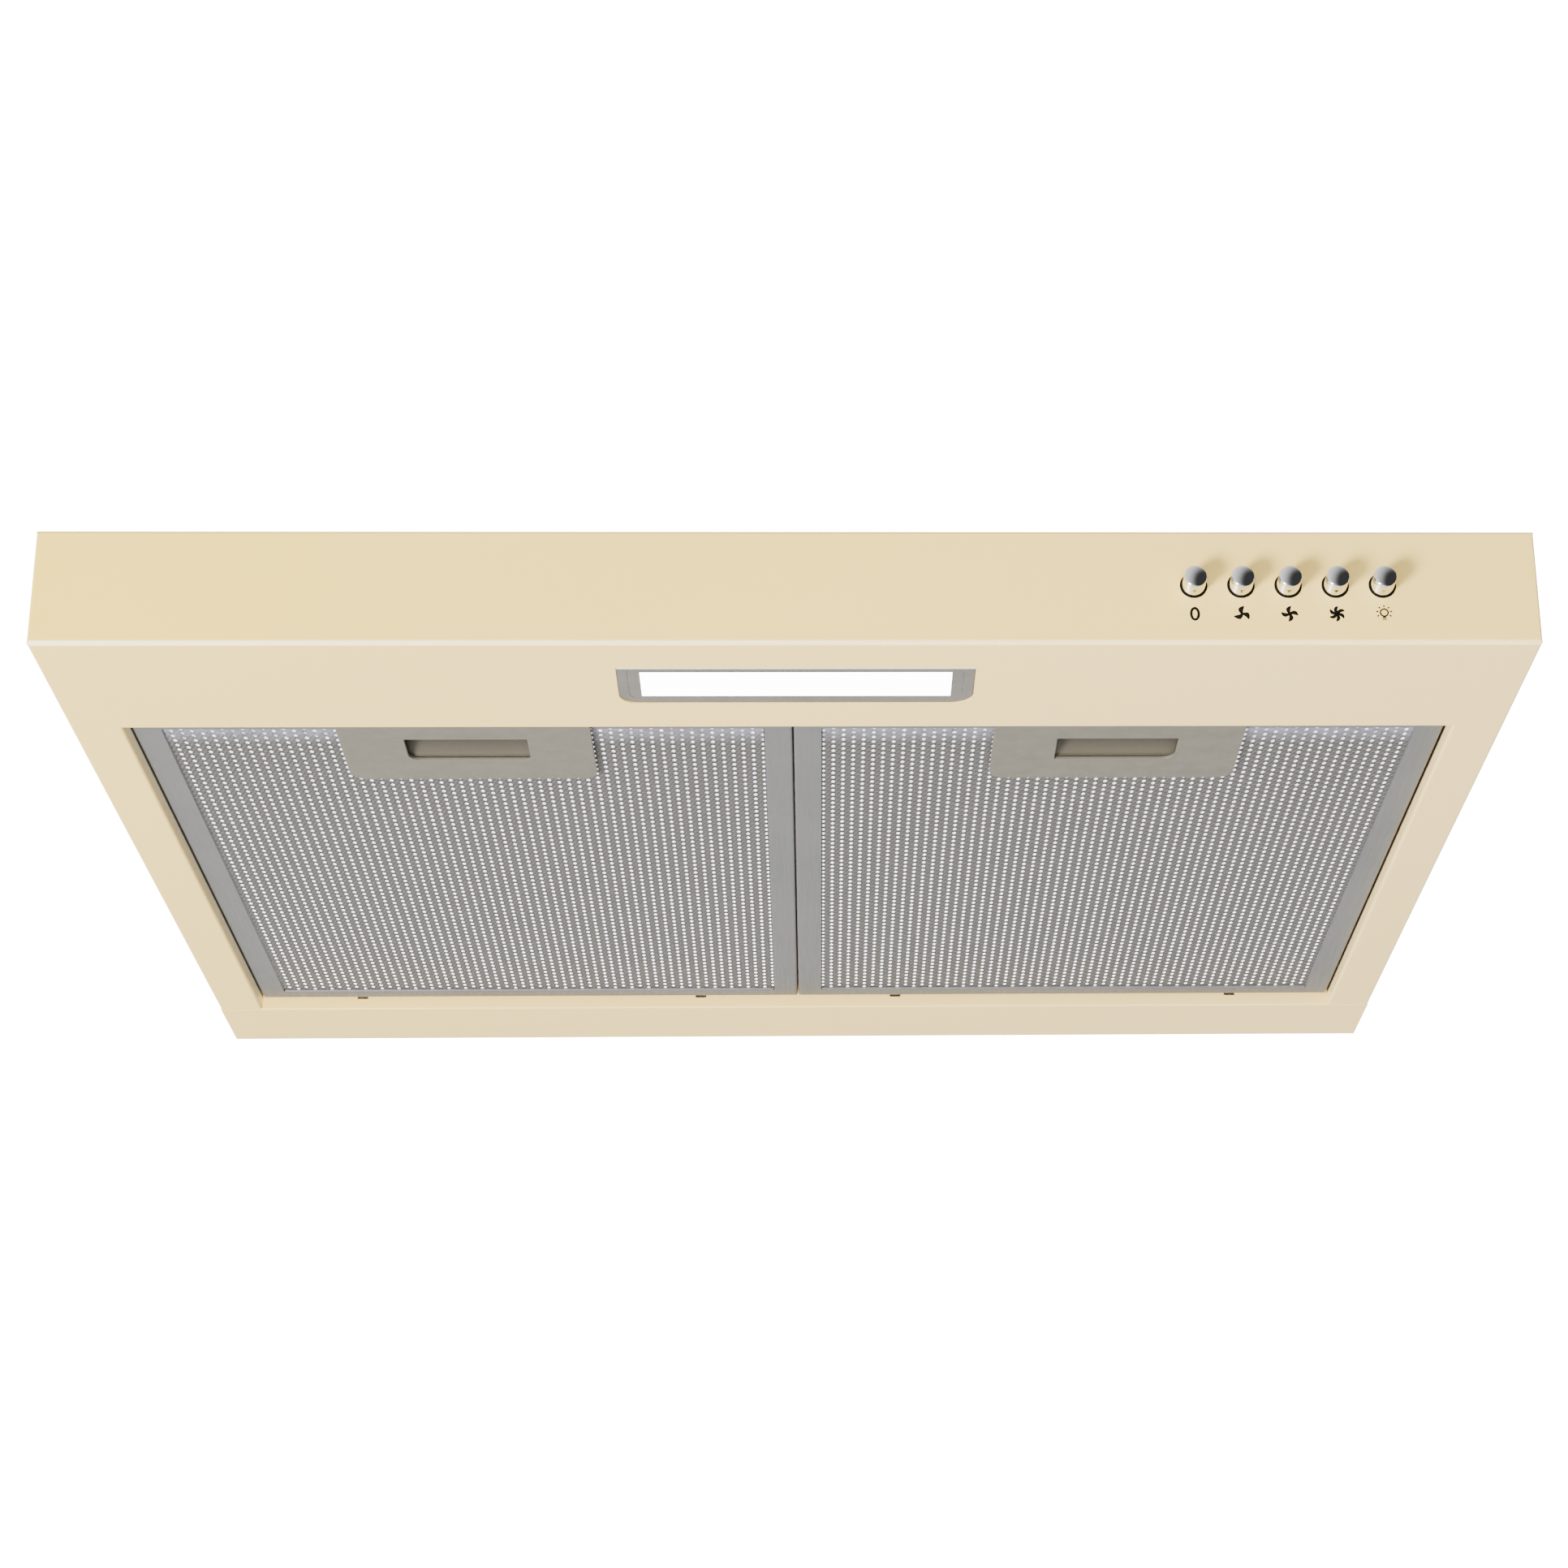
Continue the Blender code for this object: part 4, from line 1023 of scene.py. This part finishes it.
def handle_plate(name, cx):
    made = block(name, cx - PLATE_HALF, cx + PLATE_HALF, PLATE_FRONT, PLATE_REAR, 3.6, 5.1)
    edit(made)
    pick("edges", lambda p, n: abs(n.z) > 0.9 and p.y > 140)
    round_edges(7.0, 8)
    only(made)
    box = block("guide", cx - GUIDE_HALF, cx + GUIDE_HALF, PLATE_FRONT, GUIDE_REAR,
                4.8, GUIDE_TOP)
    edit(box)
    pick("faces", lambda p, n: n.z > 0.9)
    bpy.ops.mesh.inset(thickness=GUIDE_WALL * MM)
    pull(z=-7.4)
    pick("verts", lambda p, n: near(p.y, PLATE_FRONT + GUIDE_WALL))
    shift(y=7.0)
    only(box)
    carve(made, box, how="UNION")
    finger = block("finger", cx - SLOT_HALF, cx + SLOT_HALF, SLOT_FRONT, SLOT_REAR, 2, 7)
    edit(finger)
    pick("edges", lambda p, n: abs(n.z) > 0.9 and p.y > 120 and p.x > cx)
    round_edges(5.5, 6)
    pick("edges", lambda p, n: abs(n.z) > 0.9 and p.y > 120 and p.x < cx)
    round_edges(1.2, 3)
    only(finger)
    tongue_way = block("tongue_way", cx - 9.3, cx + 9.3, 85, 99, 5.1, 14)
    cavity = block("cavity", cx - 30, cx + 30, 95.8, 145, 5.1, 14)
    carve(made, finger, tongue_way, cavity)
    edit(made)
    bpy.ops.mesh.remove_doubles(threshold=0.05 * MM)
    bpy.ops.mesh.dissolve_limited(angle_limit=math.radians(0.5))
    only(made)
    return soften(made, 0.35, 2, 40)


right_plate = paint(handle_plate("handle_plate_right", CASSETTE), HANDLE)
for label, plate in twins(right_plate, mirrored=True):
    smooth(plate)
    seat(plate, f"filter_{label}", f"filter_handle_{label}", slot="handle_grey")

# %% [markdown]
# Inside the slot sits the latch, a block with a scooped hollow for the fingertips. The scoop
# is deepest in front and runs out towards the back, so its floor catches more light there. The
# hollow is cut into the block's own face by slices and moved points, not by a Boolean, which
# keeps its edges in few clean faces.

# %% Scooped latches
SCOOP_HALF, SCOOP_FRONT, SCOOP_DEEPEST, SCOOP_REAR = 28.2, 98.1, 111.0, 127.5


def scooped_latch(name, cx):
    made = block(name, cx - 29.7, cx + 29.7, 96.1, 139.7, 5.4, 12.6)
    edit(made)
    for x in (cx - SCOOP_HALF, cx + SCOOP_HALF):
        pick("faces", lambda p, n: n.z < -0.9)
        slice_x(x)
    for y in (SCOOP_FRONT, SCOOP_DEEPEST, SCOOP_REAR):
        pick("faces", lambda p, n: n.z < -0.9)
        slice_y(y)
    pick("faces", lambda p, n: n.z < -0.9 and SCOOP_FRONT < p.y < SCOOP_REAR
         and abs(p.x - cx) < SCOOP_HALF)
    pull(z=0.5)
    pick("verts", lambda p, n: near(p.z, 5.9) and p.y < SCOOP_DEEPEST + 0.1
         and abs(p.x - cx) < SCOOP_HALF + 0.1)
    shift(z=5.5)
    pick("edges", lambda p, n: near(p.y, SCOOP_DEEPEST) and near(p.z, 11.4) and abs(n.x) > 0.9)
    round_edges(7.0, 6)
    only(made)
    nose = block("nose", cx - 9, cx + 9, 85, 97.1, 5.8, 11.1)
    edit(nose)
    pick("edges", lambda p, n: near(p.y, 85) and abs(n.x) > 0.9)
    round_edges(0.8, 3)
    only(nose)
    carve(made, nose, how="UNION")
    return soften(made, 0.3, 2, 40)


for label, latch in twins(paint(scooped_latch("scooped_latch_right", CASSETTE), LATCH)):
    seat(latch, f"filter_latch_{label}", f"filter_latch_{label}", slot="handle_grey")

# %% [markdown]
# The lamp is a frosted window in a grey rim with a fine groove. Insets on its lower face give
# the rim, the groove and the glowing field, and the faces of that field get the glowing finish.
# A lamp object behind the window would light it too, but only an emissive face looks as evenly
# white as a diffuser does. A bright strip of trim closes the gap in front.

# %% Lamp window
WINDOW_FRONT = LAMP_FRONT + 1.4
GLOW_X, GLOW_FRONT, GLOW_REAR = 63.2, 29.0, 52.6

window = lamp_block("lamp_window", 0.3, 0.5, 2.4, front=1.4)
edit(window)
pick("faces", lambda p, n: n.z < -0.9)
bpy.ops.mesh.inset(thickness=3.9 * MM)
bpy.ops.mesh.inset(thickness=0.3 * MM, depth=-0.2 * MM)
bpy.ops.mesh.inset(thickness=0.3 * MM, depth=0.2 * MM)
pick("verts", lambda p, n: WINDOW_FRONT + 3.8 < p.y < WINDOW_FRONT + 4.7)
shift(y=-1.9)


def in_middle(p, n):
    return n.z < -0.9 and abs(p.x - LAMP_MIDDLE) < 5 and 35 < p.y < 50


for x in (LAMP_MIDDLE - GLOW_X, LAMP_MIDDLE + GLOW_X):
    pick("faces", in_middle)
    slice_x(x)
for y in (GLOW_FRONT, GLOW_REAR):
    pick("faces", in_middle)
    slice_y(y)
pick("faces", in_middle)
bpy.ops.mesh.inset(thickness=1.0 * MM)
shift(z=-0.15)
only(window)
carve(window, block("ledge", -74.4, 77.4, 20.7, 62.3, 1.3, 2.6), how="UNION")
paint(window, LAMP_RIM, GLOW)
lit = 0
for face in window.data.polygons:
    middle = layout(face.center)
    inside = (abs(middle.x - LAMP_MIDDLE) < GLOW_X and GLOW_FRONT < middle.y < GLOW_REAR
              and middle.z < 1.0)
    face.material_index = int(face.normal.z < -0.5 and inside)
    lit += face.material_index
smooth(window, 30)
seat(window, "hood", "lamp_lens", slot="lamp_lens")
lit_at = [layout(f.center) for f in window.data.polygons if f.material_index]
print("glowing faces", lit, "x", min(p.x for p in lit_at), max(p.x for p in lit_at),
      "y", min(p.y for p in lit_at), max(p.y for p in lit_at))

# %% Bright strip along the lamp's front edge
trim = block("lamp_trim", LAMP_MIDDLE - LAMP_X + 0.2, LAMP_MIDDLE + LAMP_X - 0.2,
             LAMP_FRONT + 0.15, LAMP_FRONT + 1.15, 0.02, 1.2)
edit(trim)
pick("edges", lambda p, n: abs(n.x) > 0.9)
round_edges(0.25, 3)
only(trim)
smooth(trim)
paint(trim, TRIM)
seat(trim, "hood")

# %% [markdown]
# Push buttons are chromed plungers with a domed end. The first starts as a short bar whose
# front face is pulled forward and narrowed in steps, which is how a lathe tool would round it.
# Its back is bored out, because the return spring goes in there as the button is pushed.

# %% Push buttons
BUTTONS = ("button_off", "button_speed_1", "button_speed_2", "button_speed_3", "button_light")


def plunger(name, x):
    start, before = -8.75, 4.6   # how far the straight part reaches, and its radius
    made = round_bar(name, (x, (start + 9) / 2, BUTTON_Z), before, 9 - start, "Y", 48)
    edit(made)
    pick("faces", lambda p, n: n.y < -0.9)
    for depth, radius in ((-9.05, 4.3), (-9.35, 3.6), (-9.62, 2.75), (-9.82, 1.9), (-9.95, 1.0),
                          (-9.99, 0.35)):
        pull(y=depth - start)
        squeeze(at(x, depth, BUTTON_Z), x=radius / before, z=radius / before)
        start, before = depth, radius
    pick("faces", lambda p, n: n.y > 0.9)
    bpy.ops.mesh.inset(thickness=0.7 * MM)
    pull(y=-5.5)
    only(made)
    return smooth(made, 50, weighted=False)


first = paint(plunger("chrome_" + BUTTONS[0], BUTTON_X[0]), CHROME)
caps = [first] + [copy_of(first, "chrome_" + name, x=x - BUTTON_X[0])
                  for name, x in zip(BUTTONS[1:], BUTTON_X[1:])]
for name, cap in zip(BUTTONS, caps):
    seat(cap, name, name, slot="chrome")

# %% [markdown]
# A black sleeve lines each hole. Its near-black colour is painted shade: it makes the dark gap
# round the chrome. A bar gets both ends inset, and a bridge between the two inner loops opens
# it into a tube.

# %% Black sleeves round the buttons
sleeve = round_bar("button_sleeve_1", (BUTTON_X[0], 1.6, BUTTON_Z), 5.5, 2.6, "Y", 48)
edit(sleeve)
pick("faces", lambda p, n: abs(n.y) > 0.9)
bpy.ops.mesh.inset(thickness=0.75 * MM)
bpy.ops.mesh.bridge_edge_loops()
only(sleeve)
smooth(paint(sleeve, SLEEVE_SHADE), 50, weighted=False)
sleeves = [sleeve] + [copy_of(sleeve, f"button_sleeve_{i + 2}", x=x - BUTTON_X[0])
                      for i, x in enumerate(BUTTON_X[1:])]
for piece in sleeves:
    seat(piece, "hood")

# %% [markdown]
# Below each button a small symbol is printed: a nought for off, a fan with more blades for
# each speed, and a lamp. They could be painted by a material, but then a turned or cut sheet
# would lose them. They are flat shapes 0.06 mm thick, thin enough to read as ink and still real
# geometry. One blade and one ray are drawn, and their copies are turned round the middle.

# %% Symbol parts
SYMBOL_Z, ASIDE = 13.0, 8.0


def disc(x, z, radius, sides=24, filled=True):
    only(None)
    bpy.ops.mesh.primitive_circle_add(vertices=sides, radius=radius * MM, location=at(x, 0, z),
                                      rotation=(math.pi / 2, 0, 0),
                                      fill_type="NGON" if filled else "NOTHING")
    return named("symbol_part")


def ring(x, z, wide, tall, stroke):
    made = disc(x, z, 1.0, 32, filled=False)
    edit(made)
    squeeze(at(x, 0, z), x=wide, z=tall)
    bpy.ops.mesh.extrude_region_move()
    squeeze(at(x, 0, z), x=1 - stroke / wide, z=1 - stroke / tall)
    return only(made)


def blade(x, z, width):
    """A hooked blade: a strip that widens and bends round as it leaves the hub."""
    only(None)
    bpy.ops.mesh.primitive_grid_add(x_subdivisions=1, y_subdivisions=6, size=1,
                                    location=at(x, 0, z), rotation=(math.pi / 2, 0, 0))
    made = named("symbol_part")
    edit(made)
    squeeze(at(x, 0, z), x=2 * MM, z=3.0 * MM)
    shift(z=1.5)
    for row in range(7):   # a finished row is moved aside, out of the next pick's way
        share = row / 6
        height = z + 3.0 * share
        pick("verts", lambda p, n: near(p.z, height, 0.1) and abs(p.x - x) < 1.2)
        blunt = 0.62 if row == 6 else 1.0
        squeeze(at(x, 0, height), x=(0.38 + width * min(1.0, 1.25 * share)) * blunt)
        shift(x=1.5 * share ** 2 - 0.3 * share + ASIDE)
    bpy.ops.mesh.select_all(action="SELECT")
    shift(x=-ASIDE)
    return only(made)


def stroke(x, z, start, end, width):
    """An upright line from start to end above the middle."""
    only(None)
    bpy.ops.mesh.primitive_plane_add(size=1, location=at(x, 0, z), rotation=(math.pi / 2, 0, 0))
    made = named("symbol_part")
    edit(made)
    squeeze(at(x, 0, z), x=width * MM, z=(end - start) * MM)
    shift(z=(start + end) / 2)
    return only(made)


def fan_out(first, x, z, angles):
    """The part and its copies, each turned round the middle by its own angle."""
    parts = [first] + [copy_of(first, "symbol_part") for _ in angles[1:]]
    for part, angle in zip(parts, angles):
        edit(part)
        bpy.ops.transform.rotate(value=math.radians(angle), orient_axis="Y",
                                 center_override=at(x, 0, z))
        only(part)
    return parts


def symbol(name, parts):
    only(parts[0])
    if len(parts) > 1:
        for part in parts:
            part.select_set(True)
        bpy.ops.object.join()
    made = bpy.context.object
    made.name = made.data.name = name
    edit(made)
    bpy.ops.mesh.normals_make_consistent(inside=False)
    only(made)
    ink = made.modifiers.new("Ink", "SOLIDIFY")
    ink.thickness, ink.offset = 0.06 * MM, 0.0
    apply_all(made)
    paint(made, INK)
    seat(made, "hood")


print("symbol parts ready")

# %% Printed symbols
symbol("symbol_off", [ring(BUTTON_X[0], SYMBOL_Z, 2.05, 3.05, 1.1)])
for x, count, name in zip(BUTTON_X[1:4], (3, 4, 6), ("low", "middle", "high")):
    angles = [25 + 360 / count * i for i in range(count)]
    blades = fan_out(blade(x, SYMBOL_Z, 2.7 / count ** 0.9), x, SYMBOL_Z, angles)
    symbol(f"symbol_fan_{name}", blades + [disc(x, SYMBOL_Z, 0.6, 16)])

x, bulb_z, base_z = BUTTON_X[4], SYMBOL_Z + 0.5, SYMBOL_Z - 1.6
rays = fan_out(stroke(x, bulb_z, 2.45, 3.3, 0.55), x, bulb_z, (-120, -80, -40, 0, 40, 80, 120))
base = fan_out(stroke(x, base_z, -0.8, 0.8, 0.5), x, base_z, (90,))[0]
lower_base = copy_of(base, "symbol_part")
edit(lower_base)
shift(z=-0.8)
symbol("symbol_lamp", [ring(x, bulb_z, 1.85, 1.85, 0.6), *rays, base, lower_base])

# %% [markdown]
# The frame's remaining nodes already have the right shape: the duct collar and its flaps, the
# blower, the motor and the electrical parts. Modelling them again would add nothing, so each
# keeps its mesh and gets the finish of its real material. A live Weld joins its loose triangles
# and a live Bevel takes the knife edge off. Leads, pins, shafts and springs stay plain.

# %% Finishes for the frame's own nodes
KEPT = {
    "top_plate": ZINC, "duct_collar": BLACK, "damper_pin": STEEL, "damper_flap_left": WHITE,
    "damper_flap_right": WHITE, "blower_housing_lower": ZINC, "blower_housing_upper": ZINC,
    "inlet_guard": BLACK, "impeller": BLACK, "impeller_nut": BLACK, "motor_shaft": STEEL,
    "motor_body": MOTOR, "motor_bracket": ZINC, "motor_screw_1": STEEL, "motor_screw_2": STEEL,
    "motor_screw_3": STEEL, "capacitor": WHITE, "capacitor_clip": ZINC, "terminal_box": BLACK,
    "terminal_cover": BLACK, "terminal_block": WHITE, "cable_gland": BLACK,
    "lamp_housing": WHITE, "lamp_board": BOARD, "lamp_driver": WHITE, "switch_bank": BLACK,
    "switch_bracket": ZINC, "filter_pad_left": PAD, "filter_pad_right": PAD,
    "filter_back_left": PAD, "filter_back_right": PAD, "motor_lead": SHEATH,
    "supply_lead": SHEATH, "lamp_lead": SHEATH,
    **{f"button_spring_{number}": STEEL for number in range(1, 6)},
}
PLAIN_EDGED = ("motor_lead", "supply_lead", "lamp_lead", "motor_shaft", "damper_pin")

for name, finish in KEPT.items():
    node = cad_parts[name]
    paint(node, finish)
    if not (name in PLAIN_EDGED or name.startswith("button_spring")):
        weld = node.modifiers.new("Weld", "WELD")
        weld.merge_threshold = 0.01 * MM
        rounded = node.modifiers.new("Edges", "BEVEL")
        rounded.width, rounded.segments = 0.25 * MM, 2
        rounded.limit_method, rounded.angle_limit = "ANGLE", math.radians(40)
print("kept nodes", len(KEPT))

# %% [markdown]
# Last, nothing is left selected.

# %% The end
only(None)
